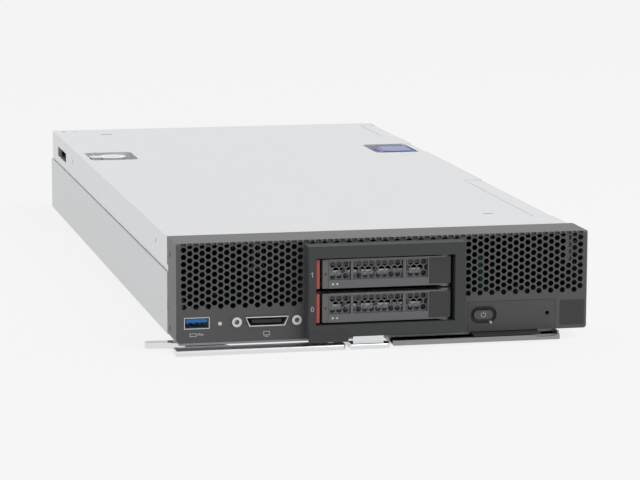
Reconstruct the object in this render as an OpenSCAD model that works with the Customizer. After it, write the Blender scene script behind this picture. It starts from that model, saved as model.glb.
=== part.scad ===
// Half-width blade server: a folded steel tray and sliding cover round two processors, memory,
// two front drives in sprung-latch trays and a cam handle under the front edge.
// Millimetres. X across the front, Y from front to rear, Z up. The origin is on the rest plane,
// under the middle of the body.

/* [Body] */
// Width over the side walls
body_w = 217; // [214:1:236]
// Depth from the front face to the rear panel
body_d = 470; // [468:1:500]
// Height of the bezel's top edge above the rest plane
body_h = 56; // [55.5:0.5:64]
// Rise of the floor at the sides and over the handle
floor_step = 5; // [5:0.1:6]
// Thickness of the steel sheet
sheet = 1.2; // [1:0.1:1.4]
// Height of the shoulder that the cover's sides stand on
shoulder_z = 37; // [32:0.5:40]
// Depth of the bezel's top and side flanges
flange_d = 26.9; // [22:0.1:32]
// How far the cover lies below the bezel's top edge
cover_step = 1; // [0.6:0.1:1.4]
// How far the cover's sides lie inside the side walls
cover_inset = 0.9; // [0.6:0.1:1.2]
// Rearward travel of the cover
cover_travel = 14; // [8:1:16]

/* [Grille] */
// Distance between hole centres in one column
hex_pitch = 3.66; // [3.5:0.02:4.2]
// Width of a hole across its flats
hex_flats = 2.76; // [2.2:0.02:2.9]
// Distance of the first column from the side
grille_margin = 3.8; // [3.6:0.1:5]
// Distance of the highest whole hole from the top edge
grille_drop = 3.1; // [2.9:0.1:3.4]
// Height of the left grille's lowest hole above the bezel's bottom
grille_low_left = 18.5; // [17:0.1:22]
// Height of the right grille's lowest hole above the bezel's bottom
grille_low_right = 20.3; // [19:0.1:24]

/* [Drive frame] */
// Left edge of the frame, from the middle of the body
frame_left = -42.2; // [-43:0.1:-41.8]
// Right edge of the frame, from the middle of the body
frame_right = 40.2; // [39:0.1:41]
// How far the frame stands in front of the bezel
frame_proud = 10; // [10:0.2:12]
// Height of the frame's lower edge above the bezel's bottom
frame_low = 2.4; // [2.2:0.1:3]
// Distance of the frame's top below the bezel's top
frame_drop = 1.8; // [1.4:0.1:2.4]
// Middle of the bays, from the middle of the body
bay_x = -1.9; // [-2.1:0.1:-1.7]
// Width of the drive opening
bay_w = 73; // [73:0.1:74]
// Distance between the two trays
tray_pitch = 17.6; // [17.2:0.1:18]
// Height of a tray's lever
lever_h = 15; // [14.4:0.1:15.2]
// Opening angle of a tray's lever
lever_swing = 60; // [40:1:70]

/* [Drives] */
// Width of a drive
disk_w = 69.85; // [69:0.05:70.1]
// Length of a drive
disk_l = 100.45; // [98:0.05:102]
// Thickness of a drive
disk_t = 7; // [5:0.5:9.5]

/* [Front sockets] */
// Distance of the data socket's middle from the left side
usb_from_side = 10.5; // [10:0.1:12]
// Height of the sockets' middle above the bezel's bottom
socket_z = 10.2; // [9.6:0.1:11.4]
// Middle of the console socket, from the middle of the body
console_x = -62; // [-63:0.1:-60]
// Distance between the two jackscrews
jack_spacing = 31.1; // [30:0.1:32]
// Outer radius of a jackscrew
jack_r = 2.55; // [2.3:0.05:2.8]
// Radius of a jackscrew's thread
jack_hole_r = 1.25; // [1:0.05:1.5]

/* [Control panel] */
// Distance between the drive frame and the control panel
panel_gap = 3.5; // [3:0.1:4]
// Distance between the control panel and the right side
panel_from_side = 17.1; // [16:0.1:18]
// Height of the control panel
panel_h = 15.9; // [15.4:0.1:17]
// Length of the power button
button_w = 10.2; // [9:0.1:11]
// Height of the power button
button_h = 4.7; // [4:0.1:5.4]
// Travel of the power button
button_travel = 0.8; // [0.4:0.1:1.2]

/* [Handle] */
// Reach of the handle's bar in front of the bezel
bar_reach = 12; // [11.6:0.2:14]
// Depth of the bar
bar_d = 10; // [8:0.2:10.6]
// Thickness of the handle
bar_t = 3; // [2.4:0.1:3]
// Height of the handle's underside above the rest plane
bar_low = 0.6; // [0.4:0.1:0.8]
// Distance of the pivot from the left side
pivot_from_side = 13; // [12:0.5:15]
// Distance of the pivot behind the front face
pivot_back = 9; // [8:0.5:10]
// Radius of the pivot pin
pivot_r = 2.5; // [2:0.1:3]
// Reach of the hook beyond the left side
hook_reach = 13; // [10:0.5:14]
// Right end of the bar, from the middle of the body
bar_end = -23.3; // [-26:0.1:-22.6]
// Gap between the bar and its latch
latch_gap = 3; // [2.8:0.1:4]
// Length of the handle's latch
handle_latch_l = 20.3; // [18:0.1:22]
// Travel of the handle's latch
handle_latch_travel = 2.5; // [1.5:0.1:2.6]

/* [Boards] */
// Thickness of the system board
board_t = 2; // [1.6:0.1:2.4]
// Height of the board's underside above the rest plane
board_z = 7.6; // [7.6:0.1:8.4]
// Distance between two memory modules
dimm_pitch = 8.4; // [8:0.1:8.5]
// Length of a memory module
dimm_l = 133.35; // [130:0.05:134]
// Height of a memory module
dimm_h = 31.25; // [28:0.05:31.5]
// Length of a memory socket
socket_l = 142; // [140:0.5:143]
// Distance of a heatsink from the middle of the first memory module
sink_gap = 9.55; // [8:0.05:16]
// Length of a heatsink
sink_l = 108; // [90:1:120]
// Distance between two heatsink fins
fin_pitch = 3.2; // [2.4:0.1:5]
// Thickness of a heatsink fin
fin_t = 0.7; // [0.5:0.1:1]

/* [Hidden] */
$fn = 48;

// Clearances
seam = 0.15;          // round a piece that is set in a cut-out
slip = 0.25;          // round a piece that slides
run = 0.05;           // radial, round a pin
touch = 0.1;          // between stacked pieces that slide past each other

// Main planes
front_y = -body_d / 2;
rear_y = body_d / 2;
wall_x = body_w / 2;
low_z = floor_step;
top_z = body_h;
cover_z = top_z - cover_step;
cover_x = wall_x - cover_inset;
upper_x = cover_x - sheet - 0.2;      // outer face of the joggled wall behind the cover's side
seam_y = front_y + flange_d;          // where the bezel's flanges end
recess_y = front_y + 46;              // rear end of the handle's recess
foot_x = wall_x - 14;                 // half width of the lowered floor
foot_run = 2;                         // run of the floor's slanted sides

// Frame and bays
frame_y = front_y - frame_proud;
frame_bottom = low_z + frame_low;
frame_top = top_z - frame_drop;
bay_left = bay_x - bay_w / 2;
bay_right = bay_x + bay_w / 2;
ear_t = 0.7;
bays_low = low_z + 8.4;
bays_high = bays_low + 2 * (ear_t + touch * 2) + tray_pitch + lever_h + 0.1;
lever_low = bays_low + 0.3 + ear_t + touch;

// Trays
tray_w = bay_w - 0.9;
tray_left = bay_x - tray_w / 2;
tray_right = bay_x + tray_w / 2;
tray_y = frame_y + 1.5;               // front face of the levers
lever_t = 6;
pin_r = 1;
lever_round = lever_t / 2;
lever_pin_x = tray_right - 1.7 - lever_round;
lever_pin_y = tray_y + lever_round;
lever_left = tray_left + 6.2;
wall_y = tray_y + lever_t + 0.6;      // front of the tray's own wall
tray_sheet = 0.8;
disk_y = wall_y + 2;
disk_end = disk_y + disk_l;
latch_w = 2.9;
latch_travel = 1.4;
strip_w = 1.6;

// Drive cage and backplane
cage_t = 1;
cage_left = tray_left - 0.3 - cage_t;
cage_right = tray_right + 0.3 + cage_t;
plug_l = 5;
plane_y = disk_end + touch + plug_l;  // front of the backplane
plane_t = 1.6;

// Boards
board_top = board_z + board_t;
zone_gap = 4;
zone_a = plane_y + plane_t + 5;       // front ends of the two processor zones
zone_b = zone_a + socket_l + zone_gap;
board_front = zone_a - 3;
board_rear = rear_y - sheet - 1.5;
board_x = wall_x - 4.5;
dimm_x = board_x - 2.2 - 5 * dimm_pitch - 3.25;  // innermost module of each bank
socket_h = 4;
chip_t = 3;
sink_w = 2 * (dimm_x - sink_gap);
sink_z = board_top + socket_h + chip_t;
sink_top = cover_z - sheet - 4.5;
adapter_y = zone_b + socket_l + 4.75;
adapter_z = board_top + 16;
rear_zone = rear_y - adapter_y;       // room behind the memory for the rear boards

// Control panel
panel_left = frame_right + panel_gap;
panel_right = wall_x - panel_from_side;

// Handle
pivot = [-wall_x + pivot_from_side, front_y + pivot_back];
bar_y = front_y - bar_reach;
bar_top = bar_low + bar_t;
guide_z = low_z - 1.2;                // underside of the plate over the handle
latch_x = bar_end + latch_gap;
latch_end = latch_x + handle_latch_l;
tray_lip_y = front_y - 7.6;           // front of the dark channel's lip
channel_left = latch_end + 3;
channel_right = panel_right + 0.2;
channel_z = 1;

// Cover
recess_depth = 5;
cover_rear = rear_y;
grip_y = rear_y - 127;                // middle of the two recesses
latch_top = cover_z - 0.3;

// ---------------------------------------------------------------- shared shapes

// A block between two corners
module block(from, to) {
    translate(from) cube(to - from);
}

// Extrudes an outline drawn in X and Z from y0 to y1
module from_front(y0, y1) {
    translate([0, y1, 0]) rotate([90, 0, 0]) linear_extrude(y1 - y0) children();
}

// Extrudes an outline drawn in Y and Z from x0 to x1
module from_side(x0, x1) {
    translate([x0, 0, 0]) rotate([90, 0, 90]) linear_extrude(x1 - x0) children();
}

// Extrudes an outline drawn in X and Y from z0 to z1
module from_top(z0, z1) {
    translate([0, 0, z0]) linear_extrude(z1 - z0) children();
}

// A rectangle between two corners with round corners
module round_rect(from, to, r) {
    translate([from.x + r, from.y]) square([to.x - from.x - 2 * r, to.y - from.y]);
    translate([from.x, from.y + r]) square([to.x - from.x, to.y - from.y - 2 * r]);
    for (x = [from.x + r, to.x - r], y = [from.y + r, to.y - r]) translate([x, y]) circle(r);
}

// A rectangle between two corners
module rect(from, to) {
    translate(from) square(to - from);
}

// A pill, w long and h high, round its middle
module pill(w, h) {
    square([w - h, h], center = true);
    for (side = [-1, 1]) translate([side * (w - h) / 2, 0]) circle(h / 2);
}

// A bar of round section along Y
module rod_y(x, z, r, y0, y1) {
    translate([x, y0, z]) rotate([-90, 0, 0]) cylinder(r = r, h = y1 - y0);
}

// A bar of round section along Z
module rod_z(x, y, r, z0, z1) {
    translate([x, y, z0]) cylinder(r = r, h = z1 - z0);
}

// A bar of round section along X
module rod_x(y, z, r, x0, x1) {
    translate([x0, y, z]) rotate([0, 90, 0]) cylinder(r = r, h = x1 - x0);
}

// ---------------------------------------------------------------- base pan

// Half of the folded section, from the top of one wall to the middle of the floor
function wall_section(side) = [
    [side * upper_x, cover_z - sheet - 0.2],
    [side * upper_x, shoulder_z],
    [side * wall_x, shoulder_z],
    [side * wall_x, low_z]
];
function wall_inside(side) = [
    [side * (wall_x - sheet), low_z + sheet],
    [side * (wall_x - sheet), shoulder_z - sheet],
    [side * (upper_x - sheet), shoulder_z - sheet],
    [side * (upper_x - sheet), cover_z - sheet - 0.2]
];
function turned(points) = [for (i = [len(points) - 1:-1:0]) points[i]];

// Section with the floor lowered between the side steps
module main_section() {
    lip = sheet * 0.6;
    polygon(concat(
        wall_section(-1),
        [[-foot_x - foot_run, low_z], [-foot_x, 0], [foot_x, 0], [foot_x + foot_run, low_z]],
        turned(wall_section(1)),
        turned(wall_inside(1)),
        [[foot_x + foot_run - lip, low_z + sheet], [foot_x - lip, sheet]],
        [[-foot_x + lip, sheet], [-foot_x - foot_run + lip, low_z + sheet]],
        wall_inside(-1)
    ));
}

// Section over the handle's recess, where the floor is flat
module recess_section() {
    polygon(concat(
        wall_section(-1), turned(wall_section(1)), turned(wall_inside(1)), wall_inside(-1)
    ));
}

// Walls and floor that the bezel's flanges lie on
module front_section() {
    inner = wall_x - sheet;
    difference() {
        rect([-inner, low_z + sheet], [inner, top_z - sheet]);
        rect([-inner + sheet, low_z + 2 * sheet], [inner - sheet, top_z]);
    }
}

module base_pan() {
    window = [38, 6];
    color("silver") difference() {
        union() {
            from_front(recess_y, rear_y) main_section();
            from_front(seam_y, recess_y + sheet) recess_section();
            from_front(front_y + sheet, seam_y + 2) front_section();
            block([-foot_x, recess_y, 0], [foot_x, recess_y + sheet, low_z + sheet]);
        }
        for (side = [-1, 1]) {
            // the cover's side passes outside the upper wall
            block(
                [side > 0 ? upper_x : -wall_x, seam_y, shoulder_z],
                [side > 0 ? wall_x : -upper_x, seam_y + 3, top_z]
            );
            block(
                [side > 0 ? upper_x - sheet : -wall_x, seam_y, cover_z - sheet - 0.2],
                [side > 0 ? wall_x : -upper_x + sheet, seam_y + 3, top_z]
            );
            // window behind the slot in the cover's side
            block(
                [side * upper_x - 3, rear_y - 62, shoulder_z + 5],
                [side * upper_x + 3, rear_y - 62 + window.x, shoulder_z + 5 + window.y]
            );
            for (z = screw_heights()) rod_x(screw_y(), z, 1.25, side * wall_x - 4, side * wall_x + 4);
        }
        block(
            [panel_left - 0.5, front_y, low_z],
            [panel_right + 0.5, front_y + 5, low_z + panel_h]
        );
        for (p = standoff_places()) rod_z(p.x, p.y, 1.6, -1, sheet + 1);
        rod_z(pivot.x, pivot.y, pivot_r + run, 0, low_z + 3 * sheet);
    }
}

function screw_heights() = [low_z + 4.8, top_z - 8.2];
function screw_y() = front_y + 18;
function standoff_places() = [
    for (x = [-foot_x + 8, 0, foot_x - 8], y = [zone_a - 1, zone_b - 2, board_rear - 6]) [x, y]
];

// ---------------------------------------------------------------- front bezel

col_pitch = hex_pitch * sqrt(3) / 2;
hex_r = hex_flats / sqrt(3);
columns = floor((body_w - 2 * grille_margin) / col_pitch);
first_col = -wall_x + grille_margin;

// Lowest centre that a hole may have at this place across the front
function grille_floor(x) =
    x < frame_left - 1.9 ? low_z + grille_low_left
    : x > frame_right + 2.5 ? low_z + grille_low_right
    : top_z - 2;

// One hexagon with a flat at the top
module hexagon(flats) {
    circle(r = flats / sqrt(3), $fn = 6);
}

// The holes of the front sheet
module grille_holes() {
    for (k = [0:columns]) {
        x = first_col + k * col_pitch;
        lift = (k % 2) * hex_pitch / 2;
        highest = top_z - grille_drop + lift;
        rows = floor((highest - grille_floor(x)) / hex_pitch);
        if (highest >= grille_floor(x)) {
            for (j = [0:rows]) translate([x, highest - j * hex_pitch]) hexagon(hex_flats);
        }
    }
}

// The same columns where they run over the bend into the top flange
module bend_holes() {
    over = hex_pitch - grille_drop;
    for (k = [0:columns]) {
        x = first_col + k * col_pitch;
        if (k % 2 == 0) {
            translate([x, front_y + over]) hexagon(hex_flats);
        } else {
            rect([x - hex_r * 0.62, front_y - 1], [x + hex_r * 0.62, front_y + sheet + 0.5]);
        }
    }
}

// Outline of a D-shaped shell, wider at the top, round its middle
module d_shell(w, h, lean) {
    polygon([[-w / 2, h / 2], [w / 2, h / 2], [w / 2 - lean, -h / 2], [-w / 2 + lean, -h / 2]]);
}

usb_x = -wall_x + usb_from_side;
usb_size = [13.2, 6];
sockets_z = low_z + socket_z;
light_x = -wall_x + 22.4;
light_r = 1;
console_size = [22.5, 5];
console_lean = 2;

// Everything that is cut through the front sheet below the grilles
module front_cutouts() {
    rect([bay_left - 2.6, low_z + 6], [bay_right + 2.6, top_z - 6.4]);
    translate([usb_x, sockets_z]) square(usb_size + [2 * seam, 2 * seam], center = true);
    translate([light_x, sockets_z - 0.6]) circle(light_r + seam);
    translate([console_x, sockets_z]) {
        d_shell(console_size.x + 2 * seam, console_size.y + 2 * seam, console_lean);
        for (side = [-1, 1]) translate([side * jack_spacing / 2, 0]) circle(jack_r + seam);
    }
    rect([panel_left, low_z - 1], [panel_right, low_z + panel_h]);
}

module front_bezel() {
    corner_r = 2;
    edge_r = 1.1;
    hem_d = 6;
    notch = [3, 4.3];
    color("dimgray") intersection() {
        difference() {
            union() {
                from_front(front_y, front_y + sheet) difference() {
                    rect([-wall_x, low_z], [wall_x, top_z - sheet]);
                    grille_holes();
                    front_cutouts();
                }
                from_top(top_z - sheet, top_z) difference() {
                    rect([-wall_x, front_y], [wall_x, seam_y]);
                    bend_holes();
                }
                for (side = [-1, 1]) {
                    block(
                        [side * wall_x - (side > 0 ? sheet : 0), front_y, low_z],
                        [side * wall_x + (side > 0 ? 0 : sheet), seam_y, top_z]
                    );
                }
                block([-wall_x, front_y, low_z], [panel_left - 2, front_y + hem_d, low_z + sheet]);
                block([panel_right + 2, front_y, low_z], [wall_x, front_y + hem_d, low_z + sheet]);
            }
            for (side = [-1, 1]) {
                for (z = screw_heights()) {
                    rod_x(screw_y(), z, 1.5, side * wall_x - 3, side * wall_x + 3);
                }
                for (z = [low_z + 12.8, low_z + 32.3]) {
                    block(
                        [side * wall_x - 3, seam_y - notch.x, z],
                        [side * wall_x + 3, seam_y + 1, z + notch.y]
                    );
                }
            }
        }
        from_top(0, top_z + 1) round_rect([-wall_x, front_y], [wall_x, seam_y + 9], edge_r);
        from_side(-wall_x, wall_x) round_rect([front_y, -9], [seam_y + 9, top_z], edge_r);
        from_front(front_y - 1, seam_y + 1) round_rect([-wall_x, low_z], [wall_x, top_z + 9], corner_r);
    }
}

module bezel_screws() {
    color("dimgray") for (side = [-1, 1], z = screw_heights()) {
        rod_x(screw_y(), z, 1.2, side > 0 ? wall_x - 3.4 : -wall_x + 0.2, side > 0 ? wall_x - 0.2 : -wall_x + 3.4);
    }
}

// ---------------------------------------------------------------- drive frame and cage

// Plain plate that hangs below the frame's left end
badge_w = 20.8;
badge_t = 1.6;
badge_low = low_z - 0.4;
badge_high = frame_bottom + 4.4;

module frame_badge() {
    color("black") block(
        [frame_left, frame_y, badge_low],
        [frame_left + badge_w, frame_y + badge_t, badge_high]
    );
}

module drive_frame() {
    skin = 2.4;
    rim = 1.8;
    sleeve = 1.2;
    color("darkslategray") difference() {
        union() {
            block([frame_left, frame_y, frame_bottom], [frame_right, front_y, frame_top]);
            block(
                [bay_left - sleeve, front_y, bays_low - sleeve],
                [bay_right + sleeve, front_y + 3, bays_high + sleeve]
            );
        }
        block([bay_left, frame_y - 1, bays_low], [bay_right, front_y + 4, bays_high]);
        // seat of the badge
        block(
            [frame_left - 1, frame_y - 1, badge_low],
            [frame_left + badge_w, frame_y + badge_t, badge_high]
        );
        difference() {
            block(
                [frame_left + rim, frame_y + skin, frame_bottom + rim],
                [frame_right - rim, front_y + 1, frame_top - rim]
            );
            block(
                [bay_left - sleeve, frame_y, bays_low - sleeve],
                [bay_right + sleeve, front_y + 4, bays_high + sleeve]
            );
        }
    }
}

// Heights of the undersides of the two trays
function bay_z(bay) = lever_low + bay * tray_pitch;

module drive_cage() {
    cage_y = front_y + 3.2;
    cage_low = bays_low - cage_t;
    cage_high = bays_high + cage_t;
    shelf_w = 2.2;
    color("silver") difference() {
        union() {
            from_front(cage_y, plane_y) difference() {
                rect([cage_left, cage_low], [cage_right, cage_high]);
                rect([cage_left + cage_t, bays_low], [cage_right - cage_t, bays_high]);
            }
            // ledges that part the two bays
            for (x = [cage_left + cage_t, cage_right - cage_t - shelf_w]) {
                block(
                    [x, cage_y, bay_z(1) - 1],
                    [x + shelf_w, plane_y - plug_l - 1, bay_z(1) - 0.2]
                );
            }
            // feet on the front floor
            for (x = [cage_left, cage_right - cage_t]) {
                block([x, cage_y, low_z + 2 * sheet], [x + cage_t, recess_y - 4, cage_low]);
            }
            for (x = [cage_left, cage_right - 6]) {
                block([x, recess_y + 20, sheet], [x + 6, plane_y - 10, cage_low]);
            }
        }
        for (i = [0:7]) {
            translate([cage_left + 12 + i * 8, cage_y + 60, 0]) cylinder(r = 2.6, h = top_z);
        }
    }
}

module drive_backplane() {
    plug_w = 33;
    color("darkgreen") {
        block([cage_left, plane_y, bays_low - 4], [cage_right, plane_y + plane_t, bays_high + 3]);
        for (bay = [0, 1]) {
            block(
                [bay_x - plug_w / 2, plane_y - plug_l, bay_z(bay) + tray_sheet + 0.4],
                [bay_x + plug_w / 2, plane_y, bay_z(bay) + tray_sheet + 5.2]
            );
        }
        block(
            [bay_x - 12, plane_y + plane_t, bays_low - 3],
            [bay_x + 12, plane_y + plane_t + 3, bays_low + 4]
        );
    }
}

// ---------------------------------------------------------------- trays

module drive_tray(bay) {
    z = bay_z(bay);
    rail_h = 11;
    tray_end = disk_end - 6;
    vent = [7, 5.6];
    color("dimgray") difference() {
        union() {
            block([tray_left, wall_y, z], [tray_right, wall_y + 1.6, z + lever_h]);
            block([tray_left, wall_y, z], [tray_right, tray_end, z + tray_sheet]);
            for (x = [tray_left, tray_right - tray_sheet]) {
                block([x, wall_y, z], [x + tray_sheet, tray_end, z + rail_h]);
            }
            // ears that hold the lever's pin
            for (ear = [z - touch - ear_t, z + lever_h + touch]) {
                from_top(ear, ear + ear_t) {
                    translate([lever_pin_x, lever_pin_y]) circle(lever_round);
                    rect([lever_pin_x - lever_round, lever_pin_y], [lever_pin_x + lever_round, wall_y + 1.6]);
                }
                block(
                    [lever_pin_x - lever_round, wall_y, min(ear, z)],
                    [lever_pin_x + lever_round, wall_y + 1.6, max(ear + ear_t, z + 1)]
                );
            }
            // sill that carries the strip and the latch
            block(
                [tray_left, tray_y + 2.6, z],
                [tray_left + strip_w + 0.1, wall_y, z + lever_h]
            );
        }
        for (i = [0:6]) {
            block(
                [tray_left + 8 + i * 8.4, wall_y - 1, z + 5],
                [tray_left + 8 + i * 8.4 + vent.x, wall_y + 3, z + 5 + vent.y]
            );
        }
        block([tray_left + 10, disk_y + 14, z - 1], [tray_right - 10, disk_end - 20, z + 2]);
        rod_z(lever_pin_x, lever_pin_y, pin_r, z - 2, z + lever_h + 2);
    }
}

module drive_disk(bay) {
    z = bay_z(bay) + tray_sheet;
    color("lightgray") difference() {
        block([bay_x - disk_w / 2, disk_y, z], [bay_x + disk_w / 2, disk_end, z + disk_t]);
        block([bay_x - 16, disk_end - 3.4, z + 1.6], [bay_x + 16, disk_end + 1, z + 4.6]);
        for (side = [-1, 1], y = [14, 90.6]) {
            rod_x(disk_y + y, z + 3, 1.2, bay_x + side * disk_w / 2 - 3, bay_x + side * disk_w / 2 + 3);
        }
    }
}

pipe_x = lever_left + 2.4;
pipe_gap = 2.3;
pipe_z = 2.2;
pipe_r = 0.6;

module drive_light_pipes(bay) {
    z = bay_z(bay) + pipe_z;
    color("white") for (i = [0, 1]) {
        rod_y(pipe_x + i * pipe_gap, z, pipe_r, wall_y - 0.5, wall_y);
    }
}

module drive_strip(bay) {
    z = bay_z(bay);
    color("indianred") block(
        [tray_left, tray_y, z + 0.1],
        [tray_left + strip_w, tray_y + 2.6, z + lever_h - 0.1]
    );
}

module drive_lever_pin(bay) {
    z = bay_z(bay);
    color("silver") rod_z(
        lever_pin_x, lever_pin_y, pin_r,
        z - touch - ear_t + 0.05, z + lever_h + touch + ear_t - 0.05
    );
}

// Cells of the lever's mesh, with a point at the top
mesh_pitch = 3.4;
mesh_flats = 2.85;
mesh_row = mesh_pitch * sqrt(3) / 2;
window_left = lever_left + 0.6;
window_w = 51.6;
window_low = 4.3;
window_h = 9.6;
post_places = [[11.2, 1.3], [38.6, 1.5]];          // start and width of the posts

module drive_lever(bay) {
    z = bay_z(bay);
    mesh_t = 0.8;
    grid_y = tray_y + 1.6;
    color("dimgray") {
        difference() {
            from_top(z, z + lever_h) {
                rect([lever_left, tray_y], [lever_pin_x, tray_y + lever_t]);
                translate([lever_pin_x, lever_pin_y]) circle(lever_round);
            }
            block(
                [window_left, tray_y - 1, z + window_low],
                [window_left + window_w, tray_y + lever_t + 1, z + window_low + window_h]
            );
            for (i = [0, 1]) {
                rod_y(pipe_x + i * pipe_gap, z + pipe_z, pipe_r + 0.1, tray_y - 1, tray_y + lever_t + 1);
            }
            rod_z(lever_pin_x, lever_pin_y, pin_r + run, z - 1, z + lever_h + 1);
        }
        from_front(grid_y, grid_y + mesh_t) difference() {
            rect(
                [window_left - 0.3, z + window_low - 0.3],
                [window_left + window_w + 0.3, z + window_low + window_h + 0.3]
            );
            for (k = [0:14], row = [0:2]) {
                x = window_left + 1.9 + (k + (row % 2) / 2) * mesh_pitch;
                translate([x, z + window_low + 1.9 + row * mesh_row]) rotate(30) hexagon(mesh_flats);
            }
        }
        for (post = post_places) {
            block(
                [window_left + post[0], tray_y + 0.4, z + window_low - 0.2],
                [window_left + post[0] + post[1], tray_y + 3, z + window_low + window_h + 0.2]
            );
        }
    }
}

module drive_latch(bay) {
    z = bay_z(bay);
    latch_right = lever_left - 0.15;
    color("dimgray") block(
        [latch_right - latch_w, tray_y + 0.1, z + 0.1],
        [latch_right, wall_y - 0.2, z + lever_h - 0.1]
    );
}

// ---------------------------------------------------------------- front sockets and panel

module usb_shell() {
    shell_t = 0.4;
    depth = 14;
    color("silver") from_front(front_y, front_y + depth) difference() {
        translate([usb_x, sockets_z]) square(usb_size, center = true);
        translate([usb_x, sockets_z]) square(usb_size - [2 * shell_t, 2 * shell_t], center = true);
    }
}

module usb_tongue() {
    back = front_y + 12;
    color("dodgerblue") {
        block([usb_x - 5.6, front_y + 0.8, sockets_z + 0.3], [usb_x + 5.6, back, sockets_z + 2.2]);
        block([usb_x - 6.2, back, sockets_z - 2.6], [usb_x + 6.2, back + 2, sockets_z + 2.6]);
    }
}

module front_light() {
    color("gray") rod_y(light_x, sockets_z - 0.6, light_r, front_y, front_y + 6);
}

module console_shell() {
    shell_t = 0.5;
    color("silver") translate([console_x, 0, sockets_z]) {
        from_front(front_y - 1.6, front_y + 8) difference() {
            d_shell(console_size.x, console_size.y, console_lean);
            d_shell(console_size.x - 2 * shell_t, console_size.y - 2 * shell_t, console_lean);
        }
    }
}

module console_core() {
    color("dimgray") translate([console_x, 0, sockets_z]) {
        from_front(front_y + 6, front_y + 10) d_shell(console_size.x - 1, console_size.y - 1, console_lean);
        from_front(front_y - 0.6, front_y + 7) d_shell(console_size.x - 7, 1.8, 0.2);
    }
}

module console_jackscrews() {
    color("silver") for (side = [-1, 1]) {
        x = console_x + side * jack_spacing / 2;
        difference() {
            rod_y(x, sockets_z, jack_r, front_y - 1.2, front_y + 8);
            rod_y(x, sockets_z, jack_hole_r, front_y - 2, front_y + 5);
        }
    }
}

module front_io_board() {
    z = sockets_z - usb_size.y / 2 - 1.6;
    color("darkgreen") {
        block([-wall_x + 3.6, front_y + sheet + 0.8, z], [cage_left - 3, front_y + 44, z + 1.6]);
        block([-wall_x + 12, front_y + 20, z + 1.6], [-wall_x + 30, front_y + 36, z + 6]);
    }
}

button_x = panel_left + 8.9;
button_z = low_z + 8.8;
recess_size = [14, 9.2];
pinhole_x = panel_right - 4.4;

module control_panel() {
    back = front_y + 4.4;
    floor_y = front_y + 2.6;
    color("dimgray") difference() {
        union() {
            block(
                [panel_left + seam, front_y, low_z + seam],
                [panel_right - seam, back, low_z + panel_h - seam]
            );
            translate([button_x, 0, button_z]) from_front(back - 0.1, back + 2) pill(button_w + 3, button_h + 3);
        }
        translate([button_x, 0, button_z]) {
            from_front(front_y - 1, floor_y) pill(recess_size.x, recess_size.y);
            from_front(front_y, back + 3) pill(button_w + 2 * slip, button_h + 2 * slip);
        }
        rod_y(pinhole_x, button_z - 0.2, 1.1, front_y - 1, back + 1);
        rod_y(button_x + 4.2, low_z + 4.6, 0.7, front_y - 1, back + 1);
    }
}

module panel_light() {
    color("white") rod_y(button_x + 4.2, low_z + 4.6, 0.65, front_y + 0.4, front_y + 4.4);
}

module power_button() {
    color("gray") translate([button_x, 0, button_z]) {
        from_front(front_y + 0.3, front_y + 5.6) pill(button_w, button_h);
        // collar that keeps the button behind the panel
        from_front(front_y + 6.6, front_y + 7.4) pill(button_w + 1.6, button_h + 1.6);
        from_front(front_y + 5.5, front_y + 7) pill(button_w - 1, button_h - 1);
    }
}

module power_switch() {
    y = front_y + 7.4 + button_travel + 0.15;
    color("dimgray") {
        block([button_x - 3, y, button_z - 3], [button_x + 3, y + 3.5, button_z + 3]);
        block([panel_left + 1, y + 3.5, low_z + 2 * sheet], [panel_right - 1, y + 5.1, low_z + panel_h + 4]);
    }
}

// ---------------------------------------------------------------- handle

// Frame under the front edge: a plate over the handle and a channel for the pull-out tab
module handle_frame() {
    wall = 1;
    lip_t = 2.2;
    lip_h = 2.6;
    back = recess_y - 0.5;
    color("dimgray") difference() {
        union() {
            block([-wall_x + 1.5, front_y + 0.6, guide_z], [channel_right, back, low_z]);
            block([channel_left, tray_lip_y, channel_z], [channel_right, back, channel_z + 0.8]);
            block([channel_left, tray_lip_y, channel_z], [channel_right, tray_lip_y + lip_t, channel_z + lip_h]);
            block([channel_right - wall, tray_lip_y + 1.4, channel_z], [channel_right, back, low_z]);
            block([channel_left, front_y + 3, channel_z], [channel_left + wall, back, low_z]);
            block([channel_left, back - 3, channel_z], [channel_right, back, low_z]);
        }
        // finger scoop in the lip's right end
        from_front(tray_lip_y - 1, tray_lip_y + 1.3) translate([channel_right - 8, channel_z + lip_h]) {
            scale([6.5, 1]) circle(1);
        }
        // slot for the pull-out tab
        block([tab_left - slip, tray_lip_y - 1, tab_z - 0.1], [tab_right + slip, back - 2.8, low_z + 1]);
        rod_z(pivot.x, pivot.y, pivot_r + run, 0, low_z + 1);
    }
}

tab_left = panel_left + 2;
tab_right = panel_right - 9.7;
tab_z = channel_z + 2.8;
tab_t = 0.9;
tab_travel = 38;

module pull_out_tab() {
    back = recess_y - 4;
    color("black") difference() {
        block([tab_left, tray_lip_y + 1, tab_z], [tab_right, back, tab_z + tab_t]);
        translate([(tab_left + tab_right) / 2, tray_lip_y + 3.4, 0]) from_top(0, low_z) pill(12, 1.6);
    }
}

module handle_pivot_pin() {
    color("silver") {
        rod_z(pivot.x, pivot.y, pivot_r, bar_low - 0.1, low_z + sheet);
        rod_z(pivot.x, pivot.y, pivot_r + 1.6, 0.1, bar_low - 0.1);
    }
}

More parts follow.
